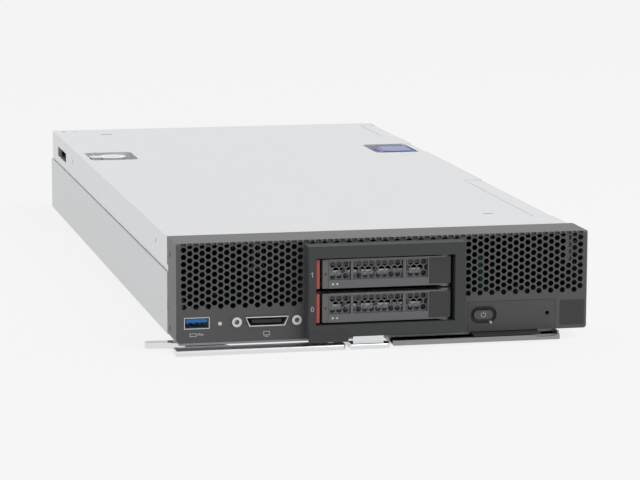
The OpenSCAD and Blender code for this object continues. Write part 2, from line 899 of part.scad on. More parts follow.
// Outline of the handle's cam: hub, arm and hook
module cam_outline() {
    hub_r = 8.5;
    tip = [-wall_x - hook_reach, front_y + 15];
    translate(pivot) circle(hub_r);
    polygon([
        [pivot.x - 8.5, bar_y + 1], [pivot.x + 14, bar_y + 1],
        [pivot.x + 14, bar_y + bar_d], [pivot.x + 8.3, pivot.y + 1], [pivot.x - 8.5, pivot.y]
    ]);
    polygon([
        [pivot.x, pivot.y - 6], [pivot.x, pivot.y + 8.5],
        [-wall_x - 4, tip.y + 2.2], tip + [2, 2.6], tip + [1.2, -2.4], [-wall_x - 4, tip.y - 3.6]
    ]);
    translate(tip + [2, 0]) circle(2.8);
}

module front_handle() {
    edge = 1.2;
    color("lightsteelblue") difference() {
        union() {
            from_side(-wall_x - 2, bar_end) {
                translate([0, bar_low]) {
                    rect([bar_y + edge, 0], [bar_y + bar_d, bar_t]);
                    rect([bar_y, edge], [bar_y + bar_d, bar_t - edge]);
                    for (z = [edge, bar_t - edge]) translate([bar_y + edge, z]) circle(edge);
                }
            }
            from_top(bar_low, bar_top) cam_outline();
        }
        rod_z(pivot.x, pivot.y, pivot_r + run, 0, low_z);
        // notch beside the latch, and the bar's narrow end that the latch slides along
        translate([bar_end, bar_y, 0]) rotate(45) cube([1.6, 1.6, 12], center = true);
        block([bar_end - 8, bar_y + nose_d - 0.2, 0], [bar_end + 1, bar_y + bar_d + 1, low_z]);
    }
}

nose_d = 6.6;                         // depth of the bar's narrow end and of the latch's nose

module handle_latch() {
    edge = 1.2;
    tab_x0 = latch_x + 1.8;
    tab_x1 = latch_end - 2.5;
    color("lightsteelblue") intersection() {
        from_side(latch_x, latch_end) translate([0, bar_low]) {
            rect([bar_y + edge, 0], [bar_y + nose_d, bar_t]);
            rect([bar_y, edge], [bar_y + nose_d, bar_t - edge]);
            for (z = [edge, bar_t - edge]) translate([bar_y + edge, z]) circle(edge);
        }
        from_top(0, low_z) round_rect([latch_x - 9, bar_y], [latch_end, bar_y + nose_d], 2.4);
    }
    // tongue that slides in the bar's end, and the finger tab
    color("dimgray") {
        difference() {
            block([bar_end - 5, bar_y + nose_d, bar_low], [latch_end - 3, bar_y + bar_d - 0.6, bar_top]);
            from_front(bar_y + nose_d - 1, bar_y + bar_d) polygon([
                [bar_end, 0], [bar_end, bar_low], [(bar_end + latch_x) / 2, bar_low + bar_t * 0.6],
                [latch_x, bar_low], [latch_x, 0]
            ]);
        }
        block([tab_x0, bar_y + 4.4, bar_top], [tab_x1, bar_y + bar_d - 0.6, low_z + 1.7]);
    }
}

// ---------------------------------------------------------------- boards and processors

module system_board() {
    color("darkgreen") difference() {
        union() {
            block([-board_x, board_front, board_z], [board_x, board_rear, board_top]);
            // chip set with its low heatsink, behind the rear processor
            block(
                [-14, adapter_y + rear_zone * 0.1, board_top],
                [14, adapter_y + rear_zone * 0.5, board_top + 2]
            );
        }
        for (p = standoff_places()) rod_z(p.x, p.y, 1.7, board_z - 1, board_top + 1);
    }
}

module board_standoffs() {
    color("gold") for (p = standoff_places()) {
        difference() {
            rod_z(p.x, p.y, 3, sheet, board_z);
            rod_z(p.x, p.y, 1.25, sheet - 1, board_z + 1);
        }
    }
}

function zone_mid(zone) = (zone == 0 ? zone_a : zone_b) + socket_l / 2;

// Half sizes of a processor socket, its pocket, the processor and its lid
socket_half = [sink_w / 2 - 9.6, sink_l / 2 - 8];
pocket_half = socket_half - [9.4, 8];
chip_half = pocket_half - [0.3, 0.3];
lid_half = pocket_half - [4, 6];

// A block with half sizes half round the middle of a zone
module zone_block(zone, half, z0, z1) {
    from_top(z0, z1) translate([0, zone_mid(zone)]) square(2 * half, center = true);
}

module processor_sockets() {
    color("tan") for (zone = [0, 1]) {
        difference() {
            zone_block(zone, socket_half, board_top, board_top + socket_h);
            zone_block(zone, pocket_half, board_top + 1, board_top + socket_h + 1);
        }
    }
}

module processors() {
    color("silver") for (zone = [0, 1]) {
        zone_block(zone, chip_half, board_top + 1, board_top + socket_h);
        zone_block(zone, lid_half, board_top + socket_h, sink_z);
    }
}

// Screws stand in the four corners of a heatsink
function sink_screws(zone) = [
    for (x = [-1, 1], y = [-1, 1]) [x * (sink_w / 2 - 7), zone_mid(zone) + y * (sink_l / 2 - 7)]
];

module heatsink(zone) {
    base_t = 4;
    y0 = zone_mid(zone) - sink_l / 2;
    y1 = zone_mid(zone) + sink_l / 2;
    fins = floor((sink_w - fin_t) / fin_pitch);
    first = -fins * fin_pitch / 2 - fin_t / 2;
    color("lightgray") difference() {
        from_front(y0, y1) {
            rect([-sink_w / 2, sink_z], [sink_w / 2, sink_z + base_t]);
            for (i = [0:fins]) {
                rect([first + i * fin_pitch, sink_z + base_t - 0.1], [first + i * fin_pitch + fin_t, sink_top]);
            }
        }
        for (p = sink_screws(zone)) {
            rod_z(p.x, p.y, 5.4, sink_z + base_t, top_z);
            rod_z(p.x, p.y, 2.2, sink_z - 1, sink_z + base_t + 1);
        }
    }
}

module heatsink_screws() {
    color("silver") for (zone = [0, 1], p = sink_screws(zone)) {
        rod_z(p.x, p.y, 2, board_top, sink_z + 4);
        rod_z(p.x, p.y, 4, sink_z + 4, sink_z + 9);
    }
}

// ---------------------------------------------------------------- memory

function dimm_places() = [
    for (side = [-1, 1], i = [0:5], y = [zone_a, zone_b]) [side * (dimm_x + i * dimm_pitch), y]
];
dimm_foot = board_top + 2.4;

module memory_sockets() {
    socket_w = 6.5;
    body_z = board_top + 8;
    color("black") for (p = dimm_places()) translate([p.x, p.y, 0]) difference() {
        union() {
            block([-socket_w / 2, 3, board_top], [socket_w / 2, socket_l - 3, body_z]);
            for (y = [0.5, socket_l - 4.2]) {
                block([-2.2, y, board_top], [2.2, y + 3.7, body_z + 12]);
            }
        }
        block(
            [-0.8, (socket_l - dimm_l) / 2 - 0.2, dimm_foot - 0.1],
            [0.8, (socket_l + dimm_l) / 2 + 0.2, top_z]
        );
    }
}

module memory_modules() {
    color("green") for (p = dimm_places()) translate([p.x, p.y + (socket_l - dimm_l) / 2, dimm_foot]) {
        block([-0.64, 0, 0], [0.64, dimm_l, dimm_h]);
        block([-1.7, 6, 9], [1.7, dimm_l - 6, dimm_h - 4]);
    }
}

baffle_low = dimm_foot + dimm_h + 0.2;
baffle_high = cover_z - sheet - recess_depth - 0.9;

// Plastic duct roof over one bank of modules
module air_baffle(side) {
    t = 1.2;
    inner = sink_w / 2 + 1.2;
    outer = upper_x - sheet - 1.2;
    x0 = side > 0 ? inner : -outer;
    x1 = side > 0 ? outer : -inner;
    rib_x = side > 0 ? inner : -inner - t;
    color("dimgray") {
        block([x0, zone_a + 8, baffle_low], [x1, zone_b + socket_l - 8, baffle_low + t]);
        block([rib_x, zone_a + 8, sink_z + 2], [rib_x + t, zone_b + socket_l - 8, baffle_high]);
        for (y = [zone_a + 8, zone_b - 3, zone_b + socket_l - 9.2]) {
            block([x0, y, baffle_low], [x1, y + t, baffle_high]);
        }
    }
}

// ---------------------------------------------------------------- small boards

module voltage_coils() {
    coil = [10, 8, 7];
    coil_pitch = (sink_w - coil.x) / 7;
    color("gray") for (zone = [0, 1], i = [0:6]) {
        corner = [7 - sink_w / 2 + i * coil_pitch, zone_mid(zone) + sink_l / 2 + 4.6, board_top];
        block(corner, corner + coil);
    }
}

module boot_module() {
    card = [1.6, 86, 34];
    corner = [cage_right + 20, front_y + 20, low_z + 2 * sheet];
    color("darkgreen") {
        block(corner, corner + card);
        // storage stick on the card
        block(corner + [card.x, 4, 8], corner + [card.x + 2.4, card.y - 6, card.z - 4]);
    }
}

module clock_battery() {
    cell_r = 10;
    holder_r = 11.4;
    holder_h = 2.2;
    x = 36;
    y = adapter_y + rear_zone * 0.3;
    color("silver") {
        rod_z(x, y, holder_r, board_top, board_top + holder_h);
        rod_z(x, y, cell_r, board_top + holder_h, board_top + holder_h + 3.2);
    }
}

// Left and right ends of the two network adapters
adapter_spans = [[-wall_x + 20.5, -26], [10, wall_x - 34.5]];
adapter_t = 1.6;
plug_inset = 8;                       // of a connector from the adapter's ends
plug_reach = 11;                      // of the connectors behind the rear panel
fabric_h = 13.4;
power_half = 24;
power_h = 12;

module network_adapters() {
    color("darkgreen") for (span = adapter_spans) {
        block(
            [span[0], adapter_y + rear_zone * 0.03, adapter_z],
            [span[1], rear_y - rear_zone * 0.12, adapter_z + adapter_t]
        );
        // controller under its own heatsink
        block(
            [span[0] + plug_inset, adapter_y + rear_zone * 0.12, adapter_z + adapter_t],
            [span[0] + 34, adapter_y + rear_zone * 0.52, adapter_z + 12]
        );
        // board connector underneath
        block(
            [span[0] + 6, adapter_y + rear_zone * 0.1, board_top],
            [span[0] + 14, adapter_y + rear_zone * 0.55, adapter_z]
        );
    }
}

module fabric_connectors() {
    cell = [2.4, 9.4];
    cell_pitch = 4;
    z0 = adapter_z + adapter_t;
    color("dimgray") for (span = adapter_spans) {
        x0 = span[0] + plug_inset;
        x1 = span[1] - plug_inset;
        difference() {
            block([x0, rear_y - rear_zone * 0.4, z0], [x1, rear_y + plug_reach, z0 + fabric_h]);
            for (i = [0:floor((x1 - x0 - 8) / cell_pitch)]) {
                x = x0 + 4 + i * cell_pitch;
                block(
                    [x, rear_y + plug_reach - 6, z0 + 2],
                    [x + cell.x, rear_y + plug_reach + 1, z0 + 2 + cell.y]
                );
            }
        }
    }
}

module power_connector() {
    blades = 6;
    blade = [5, 8];
    blade_pitch = (2 * power_half - 4.8) / blades;
    color("black") difference() {
        block(
            [-power_half, rear_y - rear_zone * 0.33, board_top],
            [power_half, rear_y + plug_reach - 2, board_top + power_h]
        );
        for (i = [0:blades - 1]) {
            x = -power_half + 3 + i * blade_pitch;
            block(
                [x, rear_y + plug_reach - 10, board_top + 2],
                [x + blade.x, rear_y + plug_reach, board_top + 2 + blade.y]
            );
        }
    }
}

guide_x = wall_x - 16.5;
guide_r = 4;
guide_bore_r = 2.4;

module rear_panel() {
    inner = wall_x - sheet - 0.2;
    fit = 0.3;
    vent_pitch = 6.4;
    vent_half = wall_x - 12.5;
    color("silver") from_front(rear_y - sheet, rear_y) difference() {
        union() {
            rect([-inner, low_z + sheet + 0.1], [inner, shoulder_z - sheet - 0.2]);
            rect([-foot_x + 1, sheet], [foot_x - 1, low_z + 3]);
            rect([-upper_x + sheet + 0.1, low_z + 3], [upper_x - sheet - 0.1, cover_z - sheet - 0.3]);
        }
        for (span = adapter_spans) rect(
            [span[0] + plug_inset - fit, adapter_z + adapter_t - fit],
            [span[1] - plug_inset + fit, adapter_z + adapter_t + fabric_h + fit]
        );
        for (side = [-1, 1]) translate([side * guide_x, adapter_z]) circle(guide_r + fit);
        rect([-power_half - fit, board_top - fit], [power_half + fit, board_top + power_h + fit]);
        // air vents
        for (k = [0:floor(2 * vent_half / vent_pitch)], row = [0, 1]) {
            x = -vent_half + (k + row / 2) * vent_pitch;
            translate([x, cover_z - sheet - 4 - row * 4.6]) circle(1.9);
        }
    }
}

module rear_guides() {
    foot_half = 5;
    color("silver") for (side = [-1, 1]) {
        x = side * guide_x;
        difference() {
            union() {
                rod_y(x, adapter_z, guide_r, rear_y - rear_zone * 0.3, rear_y + 4);
                block(
                    [x - foot_half, rear_y - rear_zone * 0.36, board_top],
                    [x + foot_half, rear_y - rear_zone * 0.18, adapter_z]
                );
            }
            rod_y(x, adapter_z, guide_bore_r, rear_y - rear_zone * 0.2, rear_y + 5);
        }
    }
}

// ---------------------------------------------------------------- cover

// Corners of the two recesses in the cover
function recess_from(side) = side < 0
    ? [-cover_x + 4.2, grip_y - 20]
    : [cover_x - 32.4, grip_y - 19];
function recess_to(side) = side < 0
    ? [-cover_x + 33.2, grip_y + 15]
    : [cover_x - 4.2, grip_y + 20];

// Outline of a recess, grown by the wall of its formed pocket
module grip_recess(side, grow = 0) {
    round_rect(recess_from(side) - [grow, grow], recess_to(side) + [grow, grow], 4 + grow);
}

// Shallow crease that runs along the cover's right edge
module edge_crease(x, y0, y1) {
    line_w = 0.35;
    drop = 0.6;
    from_front(y0, y1) {
        polygon([[x, cover_z], [cover_x + 1, cover_z - drop], [cover_x + 1, top_z], [x, top_z]]);
        rect([x - line_w / 2, cover_z - 0.4], [x + line_w / 2, top_z]);
    }
}

latch_size = [21.6, 27];
latch_mid = [cover_x - 15.6, grip_y + 1];
post_r = 1.6;
post_h = 2.6;
function latch_posts() = [for (side = [-1, 1]) latch_mid + [0, side * 4]];

module top_cover() {
    floor_z = cover_z - recess_depth;
    color("gainsboro") difference() {
        union() {
            from_top(cover_z - sheet, cover_z) difference() {
                rect([-cover_x, seam_y + 0.2], [cover_x, cover_rear]);
                for (side = [-1, 1]) grip_recess(side);
            }
            for (side = [-1, 1]) {
                block(
                    [side > 0 ? cover_x - sheet : -cover_x, seam_y + 0.2, shoulder_z + 0.3],
                    [side > 0 ? cover_x : -cover_x + sheet, cover_rear, cover_z]
                );
                // formed pocket under each recess
                difference() {
                    from_top(floor_z - 1, cover_z - 0.1) grip_recess(side, grow = 1);
                    from_top(floor_z, cover_z + 1) grip_recess(side);
                }
            }
            // posts that guide the release latch
            for (p = latch_posts()) rod_z(p.x, p.y, post_r, floor_z - 0.5, floor_z + post_h);
        }
        for (side = [-1, 1]) {
            block(
                [side * cover_x - 3, rear_y - 62, shoulder_z + 5],
                [side * cover_x + 3, rear_y - 24, shoulder_z + 11]
            );
        }
        // slots in the top sheet
        translate([-cover_x + 31.6, rear_y - 26, 0]) from_top(top_z - 5, top_z + 1) pill(8, 2.2);
        translate([cover_x - 32.2, front_y + 73, 0]) from_top(top_z - 5, top_z + 1) pill(6, 1.8);
        translate([-cover_x + 6.3, rear_y - 6, 0]) from_top(top_z - 5, top_z + 1) rotate(60) pill(4, 1.6);
        translate([-cover_x + 13.5, rear_y - 8, 0]) from_top(top_z - 5, top_z + 1) pill(2.4, 1.2);
        // creases along the right edge, and the step beside the latch
        edge_crease(cover_x - 10.9, front_y + 59, front_y + 199);
        edge_crease(cover_x - 9.9, rear_y - 71, rear_y - 9);
        block(
            [cover_x - 8, recess_from(1).y, cover_z - 0.5],
            [cover_x + 1, recess_to(1).y, top_z]
        );
        // dimples in the left side
        for (y = [front_y + 67, rear_y - 93]) rod_x(y, cover_z - 7.8, 1.4, -cover_x - 1, -cover_x + 0.4);
    }
}

cup_mid = [-cover_x + 20, grip_y + 1];

// Bright two-well cup set in the left recess
module cover_grip_cup() {
    floor_z = cover_z - recess_depth;
    color("silver") difference() {
        from_top(floor_z, cover_z - 0.6) {
            translate(cup_mid) circle(8.4);
            translate(cup_mid - [9.6, 0]) circle(4.8);
        }
        translate([cup_mid.x, cup_mid.y, cover_z + 5.4]) sphere(8.2);
        translate([cup_mid.x - 9.6, cup_mid.y, cover_z + 2.2]) sphere(4.6);
    }
}

module cover_release_latch() {
    latch_low = cover_z - recess_depth + 1.6;
    skin = 0.6;
    color("royalblue") difference() {
        latch_body(latch_low);
        for (p = latch_posts()) rod_z(p.x, p.y, post_r + run, latch_low - 1, latch_top - skin);
    }
}

module latch_body(latch_low) {
    bevel = 1.1;
    half = latch_size / 2;
    translate([latch_mid.x, latch_mid.y, latch_top - bevel]) {
        linear_extrude(bevel, scale = 0.82) round_rect(-half, half, 4);
        translate([0, 0, -0.4]) linear_extrude(0.4) round_rect(-half, half, 4);
    }
    // stem that carries the press plate
    from_top(latch_low, latch_top - 1.4) translate(latch_mid) square([12, 14], center = true);
}

// ---------------------------------------------------------------- nodes

base_pan();
front_bezel();
drive_frame();
frame_badge();
control_panel();
panel_light();
usb_shell();
usb_tongue();
front_light();
console_shell();
console_core();
console_jackscrews();
handle_frame();
handle_pivot_pin();
drive_cage();
drive_backplane();
front_io_board();
power_switch();
system_board();
board_standoffs();
processor_sockets();
processors();
heatsink(0);  // heatsink_front
heatsink(1);  // heatsink_rear
heatsink_screws();
memory_sockets();
memory_modules();
air_baffle(-1);  // air_baffle_left
air_baffle(1);  // air_baffle_right
voltage_coils();
boot_module();
clock_battery();
network_adapters();
fabric_connectors();
power_connector();
rear_panel();
rear_guides();
bezel_screws();
front_handle();
handle_latch();
pull_out_tab();
power_button();
top_cover();
cover_grip_cup();
cover_release_latch();
drive_tray(0);  // drive_0_tray
drive_disk(0);  // drive_0_disk
drive_light_pipes(0);  // drive_0_light_pipes
drive_strip(0);  // drive_0_strip
drive_lever_pin(0);  // drive_0_lever_pin
drive_lever(0);  // drive_0_lever
drive_latch(0);  // drive_0_latch
drive_tray(1);  // drive_1_tray
drive_disk(1);  // drive_1_disk
drive_light_pipes(1);  // drive_1_light_pipes
drive_strip(1);  // drive_1_strip
drive_lever_pin(1);  // drive_1_lever_pin
drive_lever(1);  // drive_1_lever
drive_latch(1);  // drive_1_latch
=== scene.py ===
"""Blade server: finishes, small fittings and the stage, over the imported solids."""

import math

import bmesh
import bpy
from mathutils import Matrix, Vector


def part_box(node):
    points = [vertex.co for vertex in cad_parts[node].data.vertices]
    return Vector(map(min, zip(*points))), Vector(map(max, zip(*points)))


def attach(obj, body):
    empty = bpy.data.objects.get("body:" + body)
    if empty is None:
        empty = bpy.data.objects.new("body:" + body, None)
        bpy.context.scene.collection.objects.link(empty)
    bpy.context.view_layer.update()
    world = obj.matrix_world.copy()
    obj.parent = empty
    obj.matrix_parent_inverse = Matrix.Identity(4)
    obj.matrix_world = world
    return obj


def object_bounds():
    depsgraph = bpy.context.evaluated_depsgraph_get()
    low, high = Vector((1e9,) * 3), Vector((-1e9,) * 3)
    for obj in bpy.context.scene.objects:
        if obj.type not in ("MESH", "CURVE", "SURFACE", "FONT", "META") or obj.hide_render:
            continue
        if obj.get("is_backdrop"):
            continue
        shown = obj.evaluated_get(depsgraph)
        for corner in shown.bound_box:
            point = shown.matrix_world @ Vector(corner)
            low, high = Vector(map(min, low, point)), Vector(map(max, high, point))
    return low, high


bl_info = {
    "name": "Blade Server Dressing",
    "version": (1, 0, 0),
    "blender": (4, 5, 0),
    "location": "View3D > Sidebar > Blade",
    "description": "Finishes, marks and small fittings of a half-width blade server",
    "category": "Object",
}

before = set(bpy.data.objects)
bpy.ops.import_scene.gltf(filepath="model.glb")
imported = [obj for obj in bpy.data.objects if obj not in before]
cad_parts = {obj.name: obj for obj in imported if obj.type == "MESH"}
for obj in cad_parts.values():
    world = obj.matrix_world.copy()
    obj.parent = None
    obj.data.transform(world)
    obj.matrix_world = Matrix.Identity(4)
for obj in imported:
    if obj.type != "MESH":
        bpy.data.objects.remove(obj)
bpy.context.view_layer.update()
MM = 0.001
WHITE = (1, 1, 1, 1)
DUST_COLOR = (0.55, 0.54, 0.52, 1)
# Turns gentler than this are shaded smooth
SMOOTH_ANGLE = math.radians(35)
# Colour sockets of a Mix node, by number, because its other sockets share their names
MIX_A, MIX_B, MIX_RESULT = 6, 7, 2


# ------------------------------------------------------------------ node trees


def put(tree, kind, place, values=None, **settings):
    """Adds a node at a place, sets its inputs by name or number, and its settings."""
    node = tree.nodes.new(kind)
    node.location = place
    for key, value in settings.items():
        setattr(node, key, value)
    for key, value in (values or {}).items():
        node.inputs[key].default_value = value
    return node


def wire(tree, source, output, target, entry):
    """Joins an output of one node to an input of another."""
    tree.links.new(source.outputs[output], target.inputs[entry])


def open_group(name, entries, exits):
    """Starts a node group with named inputs and outputs."""
    group = bpy.data.node_groups.new(name, "ShaderNodeTree")
    for label, kind, default in entries:
        socket = group.interface.new_socket(label, in_out="INPUT", socket_type=kind)
        socket.default_value = default
    for label, kind in exits:
        group.interface.new_socket(label, in_out="OUTPUT", socket_type=kind)
    return (
        group,
        put(group, "NodeGroupInput", (-1000, 0)),
        put(group, "NodeGroupOutput", (600, 0)),
    )


FLOAT, COLOR, VECTOR = "NodeSocketFloat", "NodeSocketColor", "NodeSocketVector"


def surface_grain_group():
    """Fine tone, gloss and height changes of rolled sheet, cast metal or moulded plastic."""
    group, entry, leave = open_group(
        "Surface Grain",
        [
            ("Color", COLOR, (0.5, 0.5, 0.5, 1)),
            ("Stretch", VECTOR, (1, 1, 1)),
            ("Scale", FLOAT, 900),
            ("Shade", FLOAT, 0.1),
            ("Roughness", FLOAT, 0.4),
            ("Spread", FLOAT, 0.1),
        ],
        [("Color", COLOR), ("Roughness", FLOAT), ("Height", FLOAT)],
    )
    place = put(group, "ShaderNodeTexCoord", (-1000, -300))
    stretch = put(group, "ShaderNodeVectorMath", (-800, -200), operation="MULTIPLY")
    fine = put(group, "ShaderNodeTexNoise", (-600, 0), {"Detail": 3, "Roughness": 0.6})
    broad = put(group, "ShaderNodeTexNoise", (-600, -300), {"Scale": 14, "Detail": 2})
    both = put(group, "ShaderNodeMath", (-400, -100), operation="ADD")
    centred = put(group, "ShaderNodeMath", (-400, -300), {1: 1.0}, operation="SUBTRACT")
    level = put(group, "ShaderNodeMath", (-200, 100), {2: 1.0}, operation="MULTIPLY_ADD")
    tone = put(group, "ShaderNodeHueSaturation", (0, 200))
    gloss = put(group, "ShaderNodeMath", (0, -100), operation="MULTIPLY_ADD")
    wire(group, place, "Object", stretch, 0)
    wire(group, entry, "Stretch", stretch, 1)
    wire(group, stretch, 0, fine, "Vector")
    wire(group, entry, "Scale", fine, "Scale")
    wire(group, place, "Object", broad, "Vector")
    wire(group, fine, "Fac", both, 0)
    wire(group, broad, "Fac", both, 1)
    wire(group, both, 0, centred, 0)
    wire(group, centred, 0, level, 0)
    wire(group, entry, "Shade", level, 1)
    wire(group, level, 0, tone, "Value")
    wire(group, entry, "Color", tone, "Color")
    wire(group, centred, 0, gloss, 0)
    wire(group, entry, "Spread", gloss, 1)
    wire(group, entry, "Roughness", gloss, 2)
    wire(group, tone, "Color", leave, "Color")
    wire(group, gloss, 0, leave, "Roughness")
    wire(group, fine, "Fac", leave, "Height")
    return group


def soft_edge_group():
    """Rounds edges in the shading, and finds them for wear."""
    group, entry, leave = open_group(
        "Soft Edge",
        [
            ("Color", COLOR, (0.5, 0.5, 0.5, 1)),
            ("Worn Color", COLOR, (0.7, 0.7, 0.7, 1)),
            ("Radius", FLOAT, 0.0004),
            ("Wear", FLOAT, 0.4),
        ],
        [("Color", COLOR), ("Mask", FLOAT), ("Normal", VECTOR)],
    )
    place = put(group, "ShaderNodeTexCoord", (-1000, -400))
    round_off = put(group, "ShaderNodeBevel", (-800, 0), samples=4)
    facing = put(group, "ShaderNodeNewGeometry", (-800, -200))
    turn = put(group, "ShaderNodeVectorMath", (-600, -50), operation="DOT_PRODUCT")
    edge = put(
        group,
        "ShaderNodeMapRange",
        (-400, -50),
        {"From Min": 0.985, "From Max": 0.80, "To Min": 0.0, "To Max": 1.0},
    )
    patch = put(group, "ShaderNodeTexNoise", (-600, -400), {"Scale": 160, "Detail": 4})
    ragged = put(group, "ShaderNodeMapRange", (-400, -400), {"From Min": 0.42, "From Max": 0.62})
    worn = put(group, "ShaderNodeMath", (-200, -200), operation="MULTIPLY")
    amount = put(group, "ShaderNodeMath", (0, -200), operation="MULTIPLY")
    blend = put(group, "ShaderNodeMix", (200, 100), data_type="RGBA")
    wire(group, entry, "Radius", round_off, "Radius")
    wire(group, round_off, "Normal", turn, 0)
    wire(group, facing, "Normal", turn, 1)
    wire(group, turn, "Value", edge, "Value")
    wire(group, place, "Object", patch, "Vector")
    wire(group, patch, "Fac", ragged, "Value")
    wire(group, edge, "Result", worn, 0)
    wire(group, ragged, "Result", worn, 1)
    wire(group, worn, 0, amount, 0)
    wire(group, entry, "Wear", amount, 1)
    wire(group, amount, 0, blend, 0)
    wire(group, entry, "Color", blend, MIX_A)
    wire(group, entry, "Worn Color", blend, MIX_B)
    wire(group, blend, MIX_RESULT, leave, "Color")
    wire(group, amount, 0, leave, "Mask")
    wire(group, round_off, "Normal", leave, "Normal")
    return group


def settled_dust_group():
    """A thin film of dust and finger marks, in random clouds and fine specks."""
    group, entry, leave = open_group(
        "Settled Dust",
        [
            ("Color", COLOR, (0.5, 0.5, 0.5, 1)),
            ("Roughness", FLOAT, 0.4),
            ("Amount", FLOAT, 0.1),
        ],
        [("Color", COLOR), ("Roughness", FLOAT)],
    )
    place = put(group, "ShaderNodeTexCoord", (-1000, -300))
    cloud = put(group, "ShaderNodeTexNoise", (-800, -300), {"Scale": 22, "Detail": 5})
    speck = put(group, "ShaderNodeTexNoise", (-800, -500), {"Scale": 1500, "Detail": 1})
    spread = put(group, "ShaderNodeMapRange", (-600, -300), {"From Min": 0.4, "From Max": 0.75})
    grains = put(group, "ShaderNodeMapRange", (-600, -500), {"From Min": 0.55, "From Max": 0.8})
    total = put(group, "ShaderNodeMath", (-400, -400), operation="ADD")
    amount = put(group, "ShaderNodeMath", (-200, -300), operation="MULTIPLY")
    blend = put(group, "ShaderNodeMix", (200, 100), {MIX_B: DUST_COLOR}, data_type="RGBA")
    dull = put(group, "ShaderNodeMath", (200, -200), {1: 0.5}, operation="MULTIPLY_ADD")
    wire(group, place, "Object", cloud, "Vector")
    wire(group, place, "Object", speck, "Vector")
    wire(group, cloud, "Fac", spread, "Value")
    wire(group, speck, "Fac", grains, "Value")
    wire(group, spread, "Result", total, 0)
    wire(group, grains, "Result", total, 1)
    wire(group, total, 0, amount, 0)
    wire(group, entry, "Amount", amount, 1)
    wire(group, amount, 0, blend, 0)
    wire(group, entry, "Color", blend, MIX_A)
    wire(group, amount, 0, dull, 0)
    wire(group, entry, "Roughness", dull, 2)
    wire(group, blend, MIX_RESULT, leave, "Color")
    wire(group, dull, 0, leave, "Roughness")
    return group


def board_print_group():
    """Copper runs, vias and pads under the solder mask of a circuit board."""
    group, entry, leave = open_group(
        "Board Print",
        [
            ("Mask Color", COLOR, (0.02, 0.12, 0.05, 1)),
            ("Run Color", COLOR, (0.05, 0.24, 0.10, 1)),
            ("Pad Color", COLOR, (0.75, 0.60, 0.30, 1)),
            ("Scale", FLOAT, 180),
        ],
        [("Color", COLOR), ("Pads", FLOAT), ("Height", FLOAT)],
    )
    place = put(group, "ShaderNodeTexCoord", (-1000, 0))
    runs = put(
        group, "ShaderNodeTexVoronoi", (-700, 200), {"Randomness": 0.6}, distance="CHEBYCHEV"
    )
    bands = put(group, "ShaderNodeMath", (-500, 200), {1: 18.0}, operation="MULTIPLY")
    saw = put(group, "ShaderNodeMath", (-350, 200), operation="FRACT")
    lines = put(group, "ShaderNodeMath", (-200, 200), {1: 0.6}, operation="GREATER_THAN")
    vias = put(group, "ShaderNodeTexVoronoi", (-700, -200), {"Randomness": 1.0})
    denser = put(group, "ShaderNodeMath", (-850, -200), {1: 2.6}, operation="MULTIPLY")
    dots = put(group, "ShaderNodeMath", (-500, -200), {1: 0.16}, operation="LESS_THAN")
    copper = put(group, "ShaderNodeMix", (0, 200), data_type="RGBA")
    padded = put(group, "ShaderNodeMix", (250, 100), data_type="RGBA")
    wire(group, place, "Object", runs, "Vector")
    wire(group, entry, "Scale", runs, "Scale")
    wire(group, runs, "Distance", bands, 0)
    wire(group, bands, 0, saw, 0)
    wire(group, saw, 0, lines, 0)
    wire(group, entry, "Scale", denser, 0)
    wire(group, denser, 0, vias, "Scale")
    wire(group, place, "Object", vias, "Vector")
    wire(group, vias, "Distance", dots, 0)
    wire(group, lines, 0, copper, 0)
    wire(group, entry, "Mask Color", copper, MIX_A)
    wire(group, entry, "Run Color", copper, MIX_B)
    wire(group, dots, 0, padded, 0)
    wire(group, copper, MIX_RESULT, padded, MIX_A)
    wire(group, entry, "Pad Color", padded, MIX_B)
    wire(group, padded, MIX_RESULT, leave, "Color")
    wire(group, dots, 0, leave, "Pads")
    wire(group, lines, 0, leave, "Height")
    return group


GROUP_MAKERS = {
    "Surface Grain": surface_grain_group,
    "Soft Edge": soft_edge_group,
    "Settled Dust": settled_dust_group,
    "Board Print": board_print_group,
}


def effect(tree, name, place, values):
    """Places a shared node group in a material, with this material's own values."""
    group = bpy.data.node_groups.get(name) or GROUP_MAKERS[name]()
    node = put(tree, "ShaderNodeGroup", place)
    node.node_tree = group
    for key, value in values.items():
        node.inputs[key].default_value = value
    return node


def seen_directly(tree, x, y):
    """1 for rays from the eye, in a gloss or through glass, and 0 for those that light the part."""
    rays = put(tree, "ShaderNodeLightPath", (x, y))
    seen = put(tree, "ShaderNodeMath", (x + 200, y), operation="MAXIMUM")
    shown = put(tree, "ShaderNodeMath", (x + 400, y), operation="MAXIMUM")
    wire(tree, rays, "Is Camera Ray", seen, 0)
    wire(tree, rays, "Is Glossy Ray", seen, 1)
    wire(tree, seen, 0, shown, 0)
    wire(tree, rays, "Is Transmission Ray", shown, 1)
    return shown


# ------------------------------------------------------------------ kinds of finish


def rgba(color):
    """A colour with full alpha."""
    return (*color[:3], 1.0)


def blank_material(name):
    """A material with a Principled shader and its output."""
    material = bpy.data.materials.new(name)
    material.use_nodes = True
    tree = material.node_tree
    tree.nodes.clear()
    shader = put(tree, "ShaderNodeBsdfPrincipled", (400, 0))
    output = put(tree, "ShaderNodeOutputMaterial", (700, 0))
    wire(tree, shader, "BSDF", output, "Surface")
    return material, tree, shader


